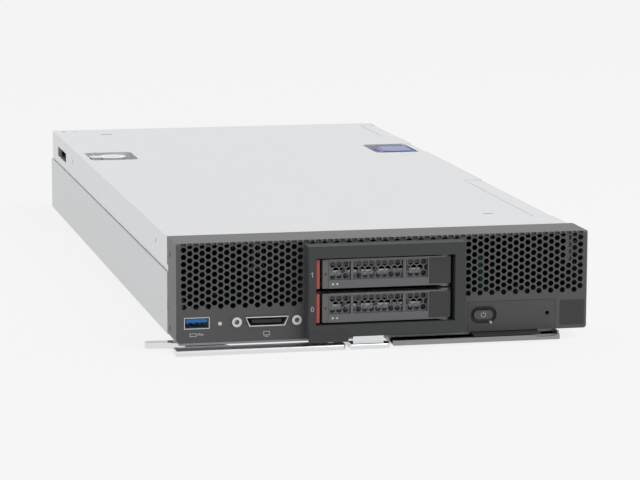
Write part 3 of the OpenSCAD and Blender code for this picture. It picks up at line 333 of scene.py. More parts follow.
def layered_finish(
    name,
    color,
    roughness,
    metallic=0.0,
    scale=900.0,
    stretch=(1, 1, 1),
    shade=0.08,
    spread=0.08,
    depth=0.02,
    edge=0.3,
    worn=None,
    wear=0.35,
    dust=0.04,
    coat=0.0,
    coat_roughness=0.2,
):
    """Grain, rounded and worn edges and a little dust over one base colour.

    depth and edge are in millimetres: the height of the grain and the radius of the edges.
    """
    done = bpy.data.materials.get(name)
    if done:
        return done
    material, tree, shader = blank_material(name)
    grain = effect(
        tree,
        "Surface Grain",
        (-700, 0),
        {
            "Color": rgba(color),
            "Stretch": stretch,
            "Scale": scale,
            "Shade": shade,
            "Roughness": roughness,
            "Spread": spread,
        },
    )
    edges = effect(
        tree,
        "Soft Edge",
        (-450, 200),
        {
            "Worn Color": rgba(worn or color),
            "Radius": edge * MM,
            "Wear": wear if worn else 0.0,
        },
    )
    film = effect(tree, "Settled Dust", (-200, 100), {"Amount": dust})
    bump = put(tree, "ShaderNodeBump", (100, -300), {"Strength": 1.0, "Distance": depth * MM})
    wire(tree, grain, "Color", edges, "Color")
    wire(tree, edges, "Color", film, "Color")
    wire(tree, grain, "Roughness", film, "Roughness")
    wire(tree, film, "Color", shader, "Base Color")
    wire(tree, film, "Roughness", shader, "Roughness")
    wire(tree, grain, "Height", bump, "Height")
    wire(tree, edges, "Normal", bump, "Normal")
    wire(tree, bump, "Normal", shader, "Normal")
    shader.inputs["Coat Weight"].default_value = coat
    shader.inputs["Coat Roughness"].default_value = coat_roughness
    if worn and metallic < 0.5:
        bare = put(tree, "ShaderNodeMath", (100, -100), {1: 0.8}, operation="MULTIPLY")
        wire(tree, edges, "Mask", bare, 0)
        wire(tree, bare, 0, shader, "Metallic")
    else:
        shader.inputs["Metallic"].default_value = metallic
    return material


def board_finish(name, mask, run, scale=180.0):
    """Solder mask over copper, with bright pads."""
    done = bpy.data.materials.get(name)
    if done:
        return done
    material, tree, shader = blank_material(name)
    printed = effect(
        tree,
        "Board Print",
        (-600, 0),
        {"Mask Color": rgba(mask), "Run Color": rgba(run), "Scale": scale},
    )
    film = effect(tree, "Settled Dust", (-300, 100), {"Amount": 0.05, "Roughness": 0.32})
    bump = put(tree, "ShaderNodeBump", (0, -300), {"Strength": 1.0, "Distance": 0.03 * MM})
    wire(tree, printed, "Color", film, "Color")
    wire(tree, film, "Color", shader, "Base Color")
    wire(tree, film, "Roughness", shader, "Roughness")
    wire(tree, printed, "Pads", shader, "Metallic")
    wire(tree, printed, "Height", bump, "Height")
    wire(tree, bump, "Normal", shader, "Normal")
    return material


def light_guide_finish(name, color, painted_glow):
    """Cloudy clear plastic with a painted glow: it gives off light of its own colour, though no lamp is in
    it.
    """
    done = bpy.data.materials.get(name)
    if done:
        return done
    material, tree, shader = blank_material(name)
    grain = effect(
        tree,
        "Surface Grain",
        (-400, 0),
        {"Color": rgba(color), "Scale": 2500, "Shade": 0.06, "Roughness": 0.22, "Spread": 0.1},
    )
    wire(tree, grain, "Color", shader, "Base Color")
    wire(tree, grain, "Roughness", shader, "Roughness")
    shader.inputs["Subsurface Weight"].default_value = 0.3
    shader.inputs["Subsurface Radius"].default_value = (0.8 * MM, 0.8 * MM, 0.8 * MM)
    shader.inputs["Subsurface Scale"].default_value = 1.0
    # Painted glow: the plastic emits its own colour as light, though there is no lamp behind it
    shader.inputs["Emission Color"].default_value = rgba(color)
    shader.inputs["Emission Strength"].default_value = painted_glow
    return material


def dress(names, material):
    """Gives CAD nodes a finish, and smooth shading across gentle turns."""
    for name in names:
        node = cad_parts[name]
        for slot in node.material_slots:
            slot.material = material
        if not node.material_slots:
            node.data.materials.append(material)
        node.data.shade_smooth()
        node.data.set_sharp_from_angle(angle=SMOOTH_ANGLE)


# ------------------------------------------------------------------ small pieces


def middle(node):
    """Centre of a solid's box."""
    low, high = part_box(node)
    return (low + high) / 2


def millimetres(*points):
    """Points of a drawing that are given in millimetres, in metres."""
    return [(u * MM, v * MM) for u, v in points]


def add_piece(name, mesh_maker, body, material):
    """Makes a mesh piece, gives it its finish and its slot and rides it on a body."""
    mesh = bpy.data.meshes.new(name)
    bm = bmesh.new()
    mesh_maker(bm)
    bmesh.ops.recalc_face_normals(bm, faces=bm.faces)
    bm.to_mesh(mesh)
    bm.free()
    piece = bpy.data.objects.new(name, mesh)
    bpy.context.scene.collection.objects.link(piece)
    mesh.materials.append(material)
    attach(piece, body)


def front_plane(x, z, y):
    """Maps a drawing to a face that looks to the front: u to the right, v up, depth outwards."""
    return lambda u, v, depth: Vector((x + u, y - depth, z + v))


def top_plane(x, y, z):
    """Maps a drawing to a face that looks up: u to the right, v to the rear, depth up."""
    return lambda u, v, depth: Vector((x + u, y + v, z + depth))


def under_plane(x, y, z):
    """Maps a drawing to a face that looks down: u to the right, v to the rear, depth down."""
    return lambda u, v, depth: Vector((x + u, y + v, z - depth))


def side_plane(x, y, z, out):
    """Maps a drawing to a face that looks to a side: u to the rear, v up, depth outwards."""
    return lambda u, v, depth: Vector((x + out * depth, y + u, z + v))


def extrude_outline(bm, points, plane, depth):
    """A prism over a closed outline, standing depth proud of the plane."""
    low = [bm.verts.new(plane(u, v, 0)) for u, v in points]
    high = [bm.verts.new(plane(u, v, depth)) for u, v in points]
    bm.faces.new(high)
    bm.faces.new(list(reversed(low)))
    for i in range(len(points)):
        j = (i + 1) % len(points)
        bm.faces.new((low[i], low[j], high[j], high[i]))


def stroke(bm, points, width, plane, depth, closed=False):
    """A line of even width along points, mitred at its corners."""
    sharpest = 0.4  # limits the reach of a mitre at a sharp corner
    n = len(points)
    sides = []
    for i, point in enumerate(points):
        here = Vector(point)
        before = Vector(points[(i - 1) % n]) if closed or i > 0 else None
        after = Vector(points[(i + 1) % n]) if closed or i < n - 1 else None
        a = (here - before).normalized() if before is not None else None
        b = (after - here).normalized() if after is not None else None
        if a is None:
            a = b
        if b is None:
            b = a
        mid = (a + b).normalized()
        normal = Vector((-mid.y, mid.x))
        reach = width / 2 / max(sharpest, mid.dot(a))
        sides.append((here + normal * reach, here - normal * reach))
    rings = [
        [
            bm.verts.new(plane(left.x, left.y, depth)),
            bm.verts.new(plane(right.x, right.y, depth)),
            bm.verts.new(plane(right.x, right.y, 0)),
            bm.verts.new(plane(left.x, left.y, 0)),
        ]
        for left, right in sides
    ]
    last = n if closed else n - 1
    for i in range(last):
        one, two = rings[i], rings[(i + 1) % n]
        for k in range(4):
            m = (k + 1) % 4
            bm.faces.new((one[k], one[m], two[m], two[k]))
    if not closed:
        bm.faces.new(rings[0])
        bm.faces.new(list(reversed(rings[-1])))


def arc(radius, start, end, steps, centre=(0.0, 0.0), stretch=1.0):
    """Points on an arc, angles in degrees from the right; a stretch over 1 makes it taller."""
    turns = [math.radians(start + (end - start) * i / steps) for i in range(steps + 1)]
    return [
        (centre[0] + radius * math.cos(turn), centre[1] + stretch * radius * math.sin(turn))
        for turn in turns
    ]


def star_outline(outer, inner, points=6):
    """Outline of a star, its hollows and its points in turn."""
    return [
        (radius * math.cos(i * math.pi / points), radius * math.sin(i * math.pi / points))
        for i, radius in enumerate((inner, outer) * points)
    ]


def rounded_outline(w, h, r, steps=5):
    """Outline of a rectangle with round corners, round its middle."""
    points = []
    for cx, cy, start in (
        (w / 2 - r, h / 2 - r, 0),
        (-w / 2 + r, h / 2 - r, 90),
        (-w / 2 + r, -h / 2 + r, 180),
        (w / 2 - r, -h / 2 + r, 270),
    ):
        points += arc(r, start, start + 90, steps, (cx, cy))
    return points


def lens(bm, radius, bulge, plane, segments=20, rings=4):
    """A shallow dome on a short rim."""
    rim = 0.2 * MM
    rows = [
        (radius * math.sin(j / rings * math.pi / 2), bulge * math.cos(j / rings * math.pi / 2))
        for j in range(1, rings + 1)
    ]
    rows.append((radius, -rim))
    crown = bm.verts.new(plane(0, 0, bulge))
    loops = [
        [bm.verts.new(plane(u, v, rise)) for u, v in arc(reach, 0, 360, segments)[:-1]]
        for reach, rise in rows
    ]
    for k in range(segments):
        m = (k + 1) % segments
        bm.faces.new((crown, loops[0][k], loops[0][m]))
        for one, two in zip(loops, loops[1:]):
            bm.faces.new((one[k], two[k], two[m], one[m]))
    bm.faces.new(list(reversed(loops[-1])))


# ------------------------------------------------------------------ sizes and colours


class BladeFinishSettings(bpy.types.PropertyGroup):
    """Colours of the main finishes."""

    cover_color: bpy.props.FloatVectorProperty(
        name="Cover", description="Colour of the cover's sheet", subtype="COLOR",
        default=(0.64, 0.64, 0.65), min=0, max=1,
    )
    pan_color: bpy.props.FloatVectorProperty(
        name="Base pan", description="Colour of the zinc-plated pan", subtype="COLOR",
        default=(0.27, 0.27, 0.28), min=0, max=1,
    )
    bezel_color: bpy.props.FloatVectorProperty(
        name="Bezel", description="Colour of the powder coat", subtype="COLOR",
        default=(0.050, 0.050, 0.051), min=0, max=1,
    )
    frame_color: bpy.props.FloatVectorProperty(
        name="Drive frame", description="Colour of the moulded frame", subtype="COLOR",
        default=(0.020, 0.020, 0.021), min=0, max=1,
    )
    strip_color: bpy.props.FloatVectorProperty(
        name="Touch strip", description="Colour of the strips that mark a hot-swap tray", subtype="COLOR",
        default=(0.60, 0.10, 0.11), min=0, max=1,
    )
    latch_color: bpy.props.FloatVectorProperty(
        name="Release latch", description="Colour of the cover's release latch", subtype="COLOR",
        default=(0.030, 0.050, 0.26), min=0, max=1,
    )
    mark_color: bpy.props.FloatVectorProperty(
        name="Marks", description="Colour of the printed marks", subtype="COLOR",
        default=(0.62, 0.62, 0.62), min=0, max=1,
    )


class BladeMarkSettings(bpy.types.PropertyGroup):
    """Sizes of the printed marks and small fittings."""

    numeral_height: bpy.props.FloatProperty(
        name="Bay number height", description="Height of the numbers beside the bays",
        default=2.5 * MM, subtype="DISTANCE", unit="LENGTH",
    )
    symbol_radius: bpy.props.FloatProperty(
        name="Power symbol radius", description="Radius of the ring on the power button",
        default=1.25 * MM, subtype="DISTANCE", unit="LENGTH",
    )
    ink: bpy.props.FloatProperty(
        name="Ink thickness", description="How far print stands on a surface",
        default=0.03 * MM, subtype="DISTANCE", unit="LENGTH",
    )
    line: bpy.props.FloatProperty(
        name="Line width", description="Width of the printed lines",
        default=0.32 * MM, subtype="DISTANCE", unit="LENGTH",
    )
    plug_rise: bpy.props.FloatProperty(
        name="Plug sign height", description="Height of the plug sign above the bezel's lower edge",
        default=4.2 * MM, subtype="DISTANCE", unit="LENGTH",
    )
    screen_rise: bpy.props.FloatProperty(
        name="Screen sign height", description="Height of the screen sign above the bezel's lower edge",
        default=3.4 * MM, subtype="DISTANCE", unit="LENGTH",
    )
    label_side: bpy.props.FloatProperty(
        name="Bezel label", description="Side of the bare label on the bezel",
        default=13.2 * MM, subtype="DISTANCE", unit="LENGTH",
    )
    label_inset: bpy.props.FloatProperty(
        name="Bezel label inset", description="From the bezel's right edge to the middle of its label",
        default=8.2 * MM, subtype="DISTANCE", unit="LENGTH",
    )
    label_rise: bpy.props.FloatProperty(
        name="Bezel label height", description="Height of the label's middle above the bezel's lower edge",
        default=8.5 * MM, subtype="DISTANCE", unit="LENGTH",
    )
    tray_label_width: bpy.props.FloatProperty(
        name="Lever label width", description="Width of the bare label on a lever",
        default=11.4 * MM, subtype="DISTANCE", unit="LENGTH",
    )
    tray_label_height: bpy.props.FloatProperty(
        name="Lever label height", description="Height of the bare label on a lever",
        default=13.6 * MM, subtype="DISTANCE", unit="LENGTH",
    )
    tray_label_inset: bpy.props.FloatProperty(
        name="Lever label inset", description="From the lever's right end to the middle of its label",
        default=5.8 * MM, subtype="DISTANCE", unit="LENGTH",
    )


class BladeStageSettings(bpy.types.PropertyGroup):
    """Floor, lamps and camera."""

    floor_color: bpy.props.FloatVectorProperty(
        name="Floor", description="Colour of the floor", subtype="COLOR",
        default=(0.86, 0.86, 0.86), min=0, max=1,
    )
    camera_place: bpy.props.FloatVectorProperty(
        name="Camera", description="Place of the camera", subtype="TRANSLATION", unit="LENGTH",
        default=(-0.36197, -1.67612, 0.29948),
    )
    azimuth: bpy.props.FloatProperty(
        name="Azimuth", description="Angle of the view from the front towards the left",
        default=math.radians(12.81), subtype="ANGLE", unit="ROTATION",
    )
    elevation: bpy.props.FloatProperty(
        name="Elevation", description="Angle of the view above the floor",
        default=math.radians(9.36), subtype="ANGLE", unit="ROTATION",
    )
    roll: bpy.props.FloatProperty(
        name="Roll", description="Tilt of the camera about its own axis",
        default=math.radians(0.218), subtype="ANGLE", unit="ROTATION",
    )
    focal_length: bpy.props.FloatProperty(
        name="Focal length", description="Focal length in millimetres for a 36 mm wide sensor",
        default=165.72,
    )
    floor_white: bpy.props.FloatProperty(
        name="Floor white", description="Share of plain white in the floor as the eye sees it",
        default=0.82, min=0, max=1, subtype="FACTOR",
    )
    key_power: bpy.props.FloatProperty(
        name="Key lamp", description="Power of the main lamp", default=9.0, unit="POWER",
    )
    fill_power: bpy.props.FloatProperty(
        name="Fill lamp", description="Power of the fill lamp", default=0.8, unit="POWER",
    )
    sky_level: bpy.props.FloatProperty(
        name="Sky", description="Strength of the even light from all round", default=0.46, min=0,
    )


def colors():
    """The colours of the main finishes."""
    return bpy.context.scene.blade_finish


# ------------------------------------------------------------------ finishes of this part


def cover_finish():
    """Satin zinc-plated sheet of the cover."""
    return layered_finish(
        "cover_sheet", colors().cover_color, 0.36, metallic=0.9,
        scale=700, stretch=(1, 0.25, 1), shade=0.03, spread=0.12, depth=0.006, edge=0.35, dust=0.03,
    )


def pan_finish():
    """Zinc-plated steel of the pan, with its fine spangle."""
    return layered_finish(
        "zinc_sheet", colors().pan_color, 0.42, metallic=0.85,
        scale=1300, shade=0.22, spread=0.16, depth=0.01, edge=0.35, dust=0.05,
    )


def bezel_finish():
    """Dark powder coat, rubbed bright where it is handled."""
    return layered_finish(
        "bezel_paint", colors().bezel_color, 0.33, scale=2600, shade=0.10, spread=0.10,
        depth=0.02, edge=0.35, worn=(0.30, 0.30, 0.31), wear=0.5, dust=0.025,
    )


def frame_finish():
    """Finely eroded black plastic."""
    return layered_finish(
        "frame_plastic", colors().frame_color, 0.30, scale=3200, shade=0.08, spread=0.08,
        depth=0.015, edge=0.3, dust=0.02,
    )


def panel_finish():
    """Dark plastic of the control panel."""
    return layered_finish(
        "panel_plastic", (0.050, 0.050, 0.052), 0.42, scale=3000, shade=0.08, spread=0.08,
        depth=0.015, edge=0.25, dust=0.02,
    )


def bright_steel_finish():
    """Polished steel of the handle."""
    return layered_finish(
        "polished_steel", (0.74, 0.74, 0.75), 0.16, metallic=1.0, scale=2200,
        stretch=(0.04, 1, 1), shade=0.05, spread=0.10, depth=0.003, edge=0.45, dust=0.01,
    )


def socket_steel_finish():
    """Tinned steel of the socket shells."""
    return layered_finish(
        "socket_steel", (0.66, 0.66, 0.67), 0.26, metallic=1.0, scale=2400, shade=0.05,
        spread=0.1, depth=0.003, edge=0.15, dust=0.02,
    )


def dark_steel_finish():
    """Black-plated steel of screws and the handle's frame."""
    return layered_finish(
        "screw_steel", (0.022, 0.022, 0.023), 0.42, metallic=0.2, scale=1800, shade=0.12,
        spread=0.12, depth=0.008, edge=0.2, dust=0.03,
    )


def black_plastic_finish():
    """Black plastic of connectors and small parts."""
    return layered_finish(
        "component_black", (0.016, 0.016, 0.017), 0.34, scale=2800, shade=0.08, spread=0.10,
        depth=0.01, edge=0.15, dust=0.03,
    )


def tray_finish():
    """Dark plated steel and plastic of the trays."""
    return layered_finish(
        "tray_metal", (0.026, 0.026, 0.027), 0.38, scale=2400, shade=0.10, spread=0.10,
        depth=0.01, edge=0.2, dust=0.02,
    )


def strip_finish():
    """Terracotta red plastic of the touch strips."""
    return layered_finish(
        "strip_red", colors().strip_color, 0.40, scale=2600, shade=0.06, spread=0.06,
        depth=0.008, edge=0.2, dust=0.02,
    )


def latch_finish():
    """Blue plastic of the cover's release latch."""
    return layered_finish(
        "latch_blue", colors().latch_color, 0.55, scale=2200, shade=0.05, spread=0.06,
        depth=0.006, edge=0.3, dust=0.02,
    )


def aluminium_finish():
    """Bare aluminium of heatsinks and drive cases."""
    return layered_finish(
        "sink_aluminium", (0.70, 0.71, 0.72), 0.30, metallic=1.0, scale=1600,
        stretch=(1, 0.08, 1), shade=0.07, spread=0.10, depth=0.006, edge=0.2, dust=0.02,
    )


def shade_dark_case_finish():
    """Cast case of a drive; its near-black colour is painted shade, for the shadow that the tray's front
    wall casts on it.
    """
    # Near-black colour: painted shade on the drive's case
    return layered_finish(
        "disk_case", (0.055, 0.056, 0.058), 0.40, metallic=0.5, scale=1500, shade=0.08,
        spread=0.10, depth=0.012, edge=0.3, dust=0.02,
    )


def lid_finish():
    """Nickel-plated lid of a processor."""
    return layered_finish(
        "processor_lid", (0.62, 0.63, 0.62), 0.28, metallic=1.0, scale=1200,
        stretch=(0.2, 1, 1), shade=0.05, spread=0.08, depth=0.004, edge=0.4, dust=0.01,
    )


def brass_finish():
    """Turned brass of the standoffs."""
    return layered_finish(
        "standoff_brass", (0.72, 0.55, 0.26), 0.26, metallic=1.0, scale=2200,
        stretch=(1, 1, 0.1), shade=0.08, spread=0.1, depth=0.006, edge=0.2, dust=0.01,
    )


def gold_finish():
    """Gold flash on contacts."""
    return layered_finish(
        "contact_gold", (0.83, 0.64, 0.30), 0.20, metallic=1.0, scale=2600, shade=0.05,
        spread=0.06, depth=0.002, edge=0.1, dust=0.01,
    )


def battery_finish():
    """Stainless can of the clock battery."""
    return layered_finish(
        "battery_steel", (0.70, 0.70, 0.70), 0.24, metallic=1.0, scale=1800, shade=0.05,
        spread=0.08, depth=0.003, edge=0.3, dust=0.02,
    )


def baffle_finish():
    """Thin black plastic of the air baffles."""
    return layered_finish(
        "baffle_plastic", (0.030, 0.030, 0.031), 0.45, scale=1400, shade=0.08, spread=0.10,
        depth=0.02, edge=0.3, dust=0.06,
    )


def blue_tongue_finish():
    """Blue plastic of the data socket's tongue."""
    return layered_finish(
        "blue_insulator", (0.010, 0.115, 0.42), 0.30, scale=2600, shade=0.05, spread=0.05,
        depth=0.004, edge=0.15, dust=0.01,
    )


def coil_finish():
    """Pressed iron powder of the voltage coils."""
    return layered_finish(
        "coil_grey", (0.13, 0.13, 0.135), 0.55, metallic=0.2, scale=1500, shade=0.25,
        spread=0.12, depth=0.03, edge=0.5, dust=0.04,
    )


def mark_finish():
    """Light grey print."""
    return layered_finish(
        "mark_print", colors().mark_color, 0.5, scale=3000, shade=0.06, spread=0.05,
        depth=0.004, edge=0.02, dust=0.0,
    )


def label_finish():
    """Matt dark film of the bare label places."""
    return layered_finish(
        "label_film", (0.034, 0.034, 0.035), 0.36, scale=2000, shade=0.05, spread=0.05,
        depth=0.004, edge=0.05, dust=0.01,
    )


def worn_ink_finish():
    """Faded reddish print on the cover."""
    return layered_finish(
        "worn_ink", (0.36, 0.24, 0.25), 0.5, scale=2500, shade=0.2, spread=0.05,
        depth=0.004, edge=0.02, dust=0.1,
    )


def gloss_black_finish():
    """Polished black plastic of the badge."""
    return layered_finish(
        "badge_black", (0.012, 0.012, 0.013), 0.16, scale=2600, shade=0.04, spread=0.05,
        depth=0.002, edge=0.25, dust=0.01, coat=0.3, coat_roughness=0.08,
    )


def button_finish():
    """Grey plastic of the power button."""
    return layered_finish(
        "button_plastic", (0.075, 0.075, 0.078), 0.38, scale=2600, shade=0.06, spread=0.06,
        depth=0.006, edge=0.3, dust=0.01,
    )


def board_green_finish():
    """Green circuit board."""
    return board_finish("circuit_board", (0.012, 0.085, 0.035), (0.03, 0.17, 0.07))


def guide_finish():
    """Light guide that isn't lit, with a faint painted glow of its own colour."""
    return light_guide_finish("light_guide", (0.72, 0.74, 0.72), 0.25)


# ------------------------------------------------------------------ operators


class BLADE_OT_case(bpy.types.Operator):
    """Finishes the base pan, the rear panel and their screws and guides"""

    bl_idname = "blade.case"
    bl_label = "Case"

    def execute(self, context):
        dress(["base_pan", "rear_panel"], pan_finish())
        dress(["bezel_screws"], dark_steel_finish())
        dress(["rear_guides"], bright_steel_finish())
        low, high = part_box("bezel_screws")
        head_radius = (high.y - low.y) / 2
        y = (low.y + high.y) / 2
        # Flat black stars on the screw heads: painted shade standing for the dark hollows of the drive
        # recesses
        star = star_outline(0.72 * MM, 0.42 * MM)
        for side, x, out in (("left", low.x, -1), ("right", high.x, 1)):

            def painted_recess_shades(bm):
                for z in (low.z + head_radius, high.z - head_radius):
                    extrude_outline(bm, star, side_plane(x, y, z, out), 0.02 * MM)

            add_piece(f"screw_recess_shade_{side}", painted_recess_shades, "chassis", black_plastic_finish())
        return {"FINISHED"}


class BLADE_OT_cover(bpy.types.Operator):
    """Finishes the sliding cover, its grip cup and its release latch"""

    bl_idname = "blade.cover"
    bl_label = "Cover"

    def execute(self, context):
        dress(["top_cover"], cover_finish())
        dress(["cover_grip_cup"], bright_steel_finish())
        dress(["cover_release_latch"], latch_finish())
        latch_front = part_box("cover_release_latch")[0].y
        cover_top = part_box("top_cover")[1].z
        plane = top_plane(middle("cover_release_latch").x, latch_front - 12 * MM, cover_top)

        def slide_marks(bm):
            for left, right, rearward, width in ((-2.6, -0.8, 1, 0.7), (-2.8, -0.4, -8, 0.9)):
                dash = millimetres((left, rearward), (right, rearward))
                stroke(bm, dash, width * MM, plane, context.scene.blade_mark.ink)

        add_piece("cover_slide_marks", slide_marks, "cover", worn_ink_finish())
        return {"FINISHED"}


class BLADE_OT_bezel(bpy.types.Operator):
    """Finishes the grille bezel and adds its pictograms and its bare label"""

    bl_idname = "blade.bezel"
    bl_label = "Bezel"

    def execute(self, context):
        mark = context.scene.blade_mark
        dress(["front_bezel"], bezel_finish())
        low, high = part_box("front_bezel")
        usb = front_plane(middle("usb_shell").x, low.z + mark.plug_rise, low.y)
        console = front_plane(middle("console_shell").x, low.z + mark.screen_rise, low.y)
        label = front_plane(high.x - mark.label_inset, low.z + mark.label_rise, low.y)

        def plug(bm):
            body = millimetres((-3.6, -0.7), (-0.4, -0.7), (-0.4, 0.7), (-3.6, 0.7))
            stroke(bm, body, mark.line, usb, mark.ink, closed=True)
            stroke(bm, millimetres((-0.4, 0), (2.6, 0)), mark.line, usb, mark.ink)
            stroke(bm, millimetres((0.4, 0.05), (1.1, 0.75), (1.9, 0.75)), mark.line, usb, mark.ink)
            extrude_outline(bm, millimetres((2.5, -0.55), (3.6, 0), (2.5, 0.55)), usb, mark.ink)

        def screen(bm):
            outline = millimetres((-1.5, -0.6), (1.5, -0.6), (1.5, 1.3), (-1.5, 1.3))
            stroke(bm, outline, mark.line, console, mark.ink, closed=True)
            stroke(bm, millimetres((-1.0, -1.3), (1.0, -1.3)), mark.line, console, mark.ink)

        def bare_label(bm):
            outline = rounded_outline(mark.label_side, mark.label_side, 0.8 * MM)
            extrude_outline(bm, outline, label, 0.06 * MM)

        add_piece("plug_pictogram", plug, "chassis", mark_finish())
        add_piece("screen_pictogram", screen, "chassis", mark_finish())
        add_piece("bezel_label", bare_label, "chassis", label_finish())
        return {"FINISHED"}


class BLADE_OT_drive_frame(bpy.types.Operator):
    """Finishes the drive frame and its cage and adds the bay numbers"""

    bl_idname = "blade.drive_frame"
    bl_label = "Drive frame"

    def execute(self, context):
        mark = context.scene.blade_mark
        dress(["drive_frame"], frame_finish())
        dress(["frame_badge"], gloss_black_finish())
        dress(["drive_cage"], pan_finish())
        dress(["drive_backplane"], board_green_finish())
        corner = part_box("drive_frame")[0]
        h = mark.numeral_height
        zero = arc(0.27 * h, 90, 450, 20, stretch=1.7)[:-1]
        one = [(-0.25 * h, 0.26 * h), (0, h / 2), (0, -h / 2)]
        for number, outline in enumerate((zero, one)):
            height = middle(f"drive_{number}_lever").z
            plane = front_plane(corner.x + 1.85 * MM, height, corner.y)

            def numeral(bm):
                stroke(bm, outline, mark.line, plane, mark.ink, closed=outline is zero)

            add_piece(f"bay_number_{number}", numeral, "chassis", mark_finish())
        return {"FINISHED"}


class BLADE_OT_drives(bpy.types.Operator):
    """Finishes both hot-swap drives and adds their marks, windows and labels"""

    bl_idname = "blade.drives"
    bl_label = "Drives"

    def execute(self, context):
        mark = context.scene.blade_mark
        for number in (0, 1):
            base = f"drive_{number}"
            dress([f"{base}_tray", f"{base}_lever", f"{base}_latch"], tray_finish())
            # The drive's case gets a near-black colour that is painted shade
            dress([f"{base}_disk"], shade_dark_case_finish())
            dress([f"{base}_light_pipes"], guide_finish())
            dress([f"{base}_strip"], strip_finish())
            dress([f"{base}_lever_pin"], dark_steel_finish())
            self.latch_mark(base, mark)
            self.label(base, mark)
            self.light_windows(base)
        return {"FINISHED"}

    def latch_mark(self, base, mark):
        """A triangle on the latch that points at the touch strip."""
        centre = middle(f"{base}_latch")
        face = front_plane(centre.x, centre.z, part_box(f"{base}_latch")[0].y)

        def triangle(bm):
            extrude_outline(bm, millimetres((-0.75, 0), (0.55, -1), (0.55, 1)), face, mark.ink)

        add_piece(f"{base}_latch_mark", triangle, f"{base}_latch", black_plastic_finish())

    def label(self, base, mark):
        """A bare label place at the right end of the lever."""
        low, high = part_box(f"{base}_lever")
        face = front_plane(high.x - mark.tray_label_inset, (low.z + high.z) / 2, low.y)

        def film(bm):
            outline = rounded_outline(mark.tray_label_width, mark.tray_label_height, 0.5 * MM)
            extrude_outline(bm, outline, face, 0.05 * MM)

        add_piece(f"{base}_label", film, f"{base}_lever", label_finish())

    def light_windows(self, base):
        """Small domes over the ends of the two light pipes."""
        low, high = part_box(f"{base}_light_pipes")
        pipe_radius = 0.6 * MM
        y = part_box(f"{base}_lever")[0].y + 0.25 * MM
        z = (low.z + high.z) / 2
        for which, x in (("activity", low.x + pipe_radius), ("status", high.x - pipe_radius)):

            def dome(bm):
                lens(bm, 0.66 * MM, 0.22 * MM, front_plane(x, z, y))

            add_piece(f"{base}_{which}_window", dome, f"{base}_lever", guide_finish())


class BLADE_OT_sockets(bpy.types.Operator):
    """Finishes the data and console sockets and adds their contacts"""

    bl_idname = "blade.sockets"
    bl_label = "Front sockets"

    def execute(self, context):
        dress(["usb_shell", "console_shell", "console_jackscrews"], socket_steel_finish())
        dress(["usb_tongue"], blue_tongue_finish())
        dress(["console_core"], black_plastic_finish())
        dress(["front_light"], guide_finish())
        low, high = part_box("usb_tongue")
        pitch = 3 * MM
        first = (low.x + high.x) / 2 - 1.5 * pitch
        underside = high.z - 2.9 * MM
        blade = millimetres((-0.6, 0), (0.6, 0), (0.6, 7), (-0.6, 7))

        def blades(bm):
            for i in range(4):
                face = under_plane(first + i * pitch, low.y + 1 * MM, underside)
                extrude_outline(bm, blade, face, 0.08 * MM)

        add_piece("data_contacts", blades, "chassis", gold_finish())
        return {"FINISHED"}


class BLADE_OT_control_panel(bpy.types.Operator):
    """Finishes the control panel and its button and adds the power symbol"""

    bl_idname = "blade.control_panel"
    bl_label = "Control panel"

    def execute(self, context):
        mark = context.scene.blade_mark
        dress(["control_panel"], panel_finish())
        dress(["power_button"], button_finish())
        dress(["power_switch"], black_plastic_finish())
        dress(["panel_light"], guide_finish())
        centre = middle("power_button")
        face = front_plane(centre.x, centre.z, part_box("power_button")[0].y)
        r = mark.symbol_radius
        gap = 35  # half of the ring's opening at the top, in degrees

        def power(bm):
            stroke(bm, arc(r, 90 + gap, 450 - gap, 26), mark.line, face, mark.ink)
            stroke(bm, [(0, 0.25 * r), (0, 1.3 * r)], mark.line, face, mark.ink)

        add_piece("power_symbol", power, "power_button", mark_finish())
        return {"FINISHED"}


class BLADE_OT_handle(bpy.types.Operator):
    """Finishes the cam handle, its latch, the frame under the front edge and the tab"""

    bl_idname = "blade.handle"
    bl_label = "Handle"

    def execute(self, context):
        dress(["front_handle", "handle_latch", "handle_pivot_pin"], bright_steel_finish())
        dress(["handle_frame"], dark_steel_finish())
        dress(["pull_out_tab"], black_plastic_finish())
        return {"FINISHED"}


class BLADE_OT_boards(bpy.types.Operator):
    """Finishes the boards, the processors, the memory and the rear connectors"""

    bl_idname = "blade.boards"
    bl_label = "Boards"

    def execute(self, context):
        dress(
            ["system_board", "front_io_board", "boot_module", "network_adapters", "memory_modules"],
            board_green_finish(),
        )
        dress(["board_standoffs"], brass_finish())
        dress(
            ["processor_sockets", "memory_sockets", "fabric_connectors", "power_connector"],
            black_plastic_finish(),
        )
        dress(["processors"], lid_finish())
        dress(["heatsink_front", "heatsink_rear"], aluminium_finish())
        dress(["heatsink_screws"], dark_steel_finish())
        dress(["air_baffle_left", "air_baffle_right"], baffle_finish())
        dress(["voltage_coils"], coil_finish())
        dress(["clock_battery"], battery_finish())
        return {"FINISHED"}


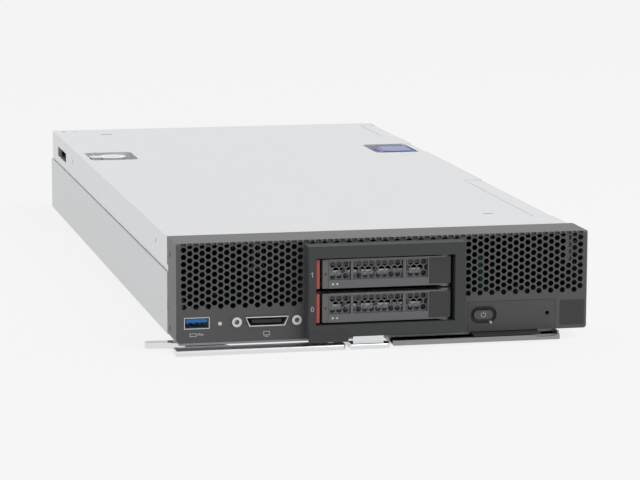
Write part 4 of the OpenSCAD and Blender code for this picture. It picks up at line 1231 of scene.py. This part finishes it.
class BLADE_OT_stage(bpy.types.Operator):
    """Lays the floor, sets the lamps and places the camera"""

    bl_idname = "blade.stage"
    bl_label = "Stage"

    def execute(self, context):
        scene = context.scene
        stage = scene.blade_stage
        scene.view_settings.view_transform = "Standard"
        self.sky(scene, stage)
        self.floor(stage)
        self.lamp("key_lamp", place=(0.9, -0.9, 1.5), size=1.2, power=stage.key_power)
        self.lamp("fill_lamp", place=(-1.4, -0.8, 0.9), size=1.0, power=stage.fill_power)
        self.camera(scene, stage)
        return {"FINISHED"}

    def sky(self, scene, stage):
        """An even light from all round that shows as white."""
        world = bpy.data.worlds.new("even_sky")
        scene.world = world
        world.use_nodes = True
        tree = world.node_tree
        tree.nodes.clear()
        shown = seen_directly(tree, -800, 200)
        light = put(
            tree, "ShaderNodeBackground", (-200, 0), {"Color": WHITE, "Strength": stage.sky_level}
        )
        white = put(tree, "ShaderNodeBackground", (-200, -150), {"Color": WHITE, "Strength": 1.0})
        choose = put(tree, "ShaderNodeMixShader", (0, 0))
        output = put(tree, "ShaderNodeOutputWorld", (200, 0))
        wire(tree, shown, 0, choose, 0)
        wire(tree, light, 0, choose, 1)
        wire(tree, white, 0, choose, 2)
        wire(tree, choose, 0, output, "Surface")

    def floor(self, stage):
        """A pale round floor just under the part, which keeps its shadow."""
        gap = 0.1 * MM
        mesh = bpy.data.meshes.new("floor")
        bm = bmesh.new()
        bmesh.ops.create_circle(bm, cap_ends=True, segments=64, radius=8.0)
        bm.to_mesh(mesh)
        bm.free()
        floor = bpy.data.objects.new("floor", mesh)
        floor.location = (0, 0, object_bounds()[0][2] - gap)
        bpy.context.scene.collection.objects.link(floor)
        material, tree, shader = blank_material("floor_paper")
        shader.inputs["Base Color"].default_value = rgba(stage.floor_color)
        shader.inputs["Roughness"].default_value = 0.9
        shader.inputs["Specular IOR Level"].default_value = 0.1
        shown = seen_directly(tree, -400, 300)
        share = put(
            tree, "ShaderNodeMath", (200, 300), {1: stage.floor_white}, operation="MULTIPLY"
        )
        white = put(tree, "ShaderNodeEmission", (400, 200), {"Color": WHITE, "Strength": 1.0})
        blend = put(tree, "ShaderNodeMixShader", (650, 200))
        output = next(n for n in tree.nodes if n.type == "OUTPUT_MATERIAL")
        wire(tree, shown, 0, share, 0)
        wire(tree, share, 0, blend, 0)
        wire(tree, shader, "BSDF", blend, 1)
        wire(tree, white, 0, blend, 2)
        wire(tree, blend, 0, output, "Surface")
        mesh.materials.append(material)
        floor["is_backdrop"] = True

    def lamp(self, name, place, size, power):
        """A round area lamp that points at the part."""
        data = bpy.data.lights.new(name, "AREA")
        data.shape = "DISK"
        data.size = size
        data.energy = power
        lamp = bpy.data.objects.new(name, data)
        lamp.location = place
        lamp.rotation_euler = (-Vector(place)).to_track_quat("-Z", "Y").to_euler()
        bpy.context.scene.collection.objects.link(lamp)

    def camera(self, scene, stage):
        """The camera, looking from the front left and a little from above."""
        data = bpy.data.cameras.new("camera")
        data.sensor_width = 36  # in millimetres, as the focal length is
        data.lens = stage.focal_length
        camera = bpy.data.objects.new("camera", data)
        az, el = stage.azimuth, stage.elevation
        ahead = Vector((math.sin(az) * math.cos(el), math.cos(az) * math.cos(el), -math.sin(el)))
        right = Vector((math.cos(az), -math.sin(az), 0))
        up = right.cross(ahead)
        turn = Matrix((right, up, -ahead)).transposed()
        turn = turn @ Matrix.Rotation(stage.roll, 3, "Z")
        camera.matrix_world = Matrix.Translation(stage.camera_place) @ turn.to_4x4()
        scene.collection.objects.link(camera)
        scene.camera = camera


class BLADE_PT_panel(bpy.types.Panel):
    """Lists the steps that dress the blade server"""

    bl_idname = "BLADE_PT_panel"
    bl_label = "Blade server"
    bl_space_type = "VIEW_3D"
    bl_region_type = "UI"
    bl_category = "Blade"

    def draw(self, context):
        layout = self.layout
        for name in ("blade_finish", "blade_mark", "blade_stage"):
            group = getattr(context.scene, name)
            box = layout.box()
            for key in group.bl_rna.properties.keys():
                if key not in ("rna_type", "name"):
                    box.prop(group, key)
        for step in STEPS:
            layout.operator(step.bl_idname)


GROUPS = (BladeFinishSettings, BladeMarkSettings, BladeStageSettings)
STEPS = (
    BLADE_OT_case,
    BLADE_OT_cover,
    BLADE_OT_bezel,
    BLADE_OT_drive_frame,
    BLADE_OT_drives,
    BLADE_OT_sockets,
    BLADE_OT_control_panel,
    BLADE_OT_handle,
    BLADE_OT_boards,
    BLADE_OT_stage,
)


def register():
    """Registers the classes and hangs the settings on the scene."""
    for cls in (*GROUPS, *STEPS, BLADE_PT_panel):
        bpy.utils.register_class(cls)
    bpy.types.Scene.blade_finish = bpy.props.PointerProperty(type=BladeFinishSettings)
    bpy.types.Scene.blade_mark = bpy.props.PointerProperty(type=BladeMarkSettings)
    bpy.types.Scene.blade_stage = bpy.props.PointerProperty(type=BladeStageSettings)


def unregister():
    """Takes the settings off the scene and unregisters the classes."""
    del bpy.types.Scene.blade_stage
    del bpy.types.Scene.blade_mark
    del bpy.types.Scene.blade_finish
    for cls in reversed((*GROUPS, *STEPS, BLADE_PT_panel)):
        bpy.utils.unregister_class(cls)


def main():
    """Dresses the whole part."""
    register()
    for step in STEPS:
        group, name = step.bl_idname.split(".")
        getattr(getattr(bpy.ops, group), name)()


if __name__ == "__main__":
    main()
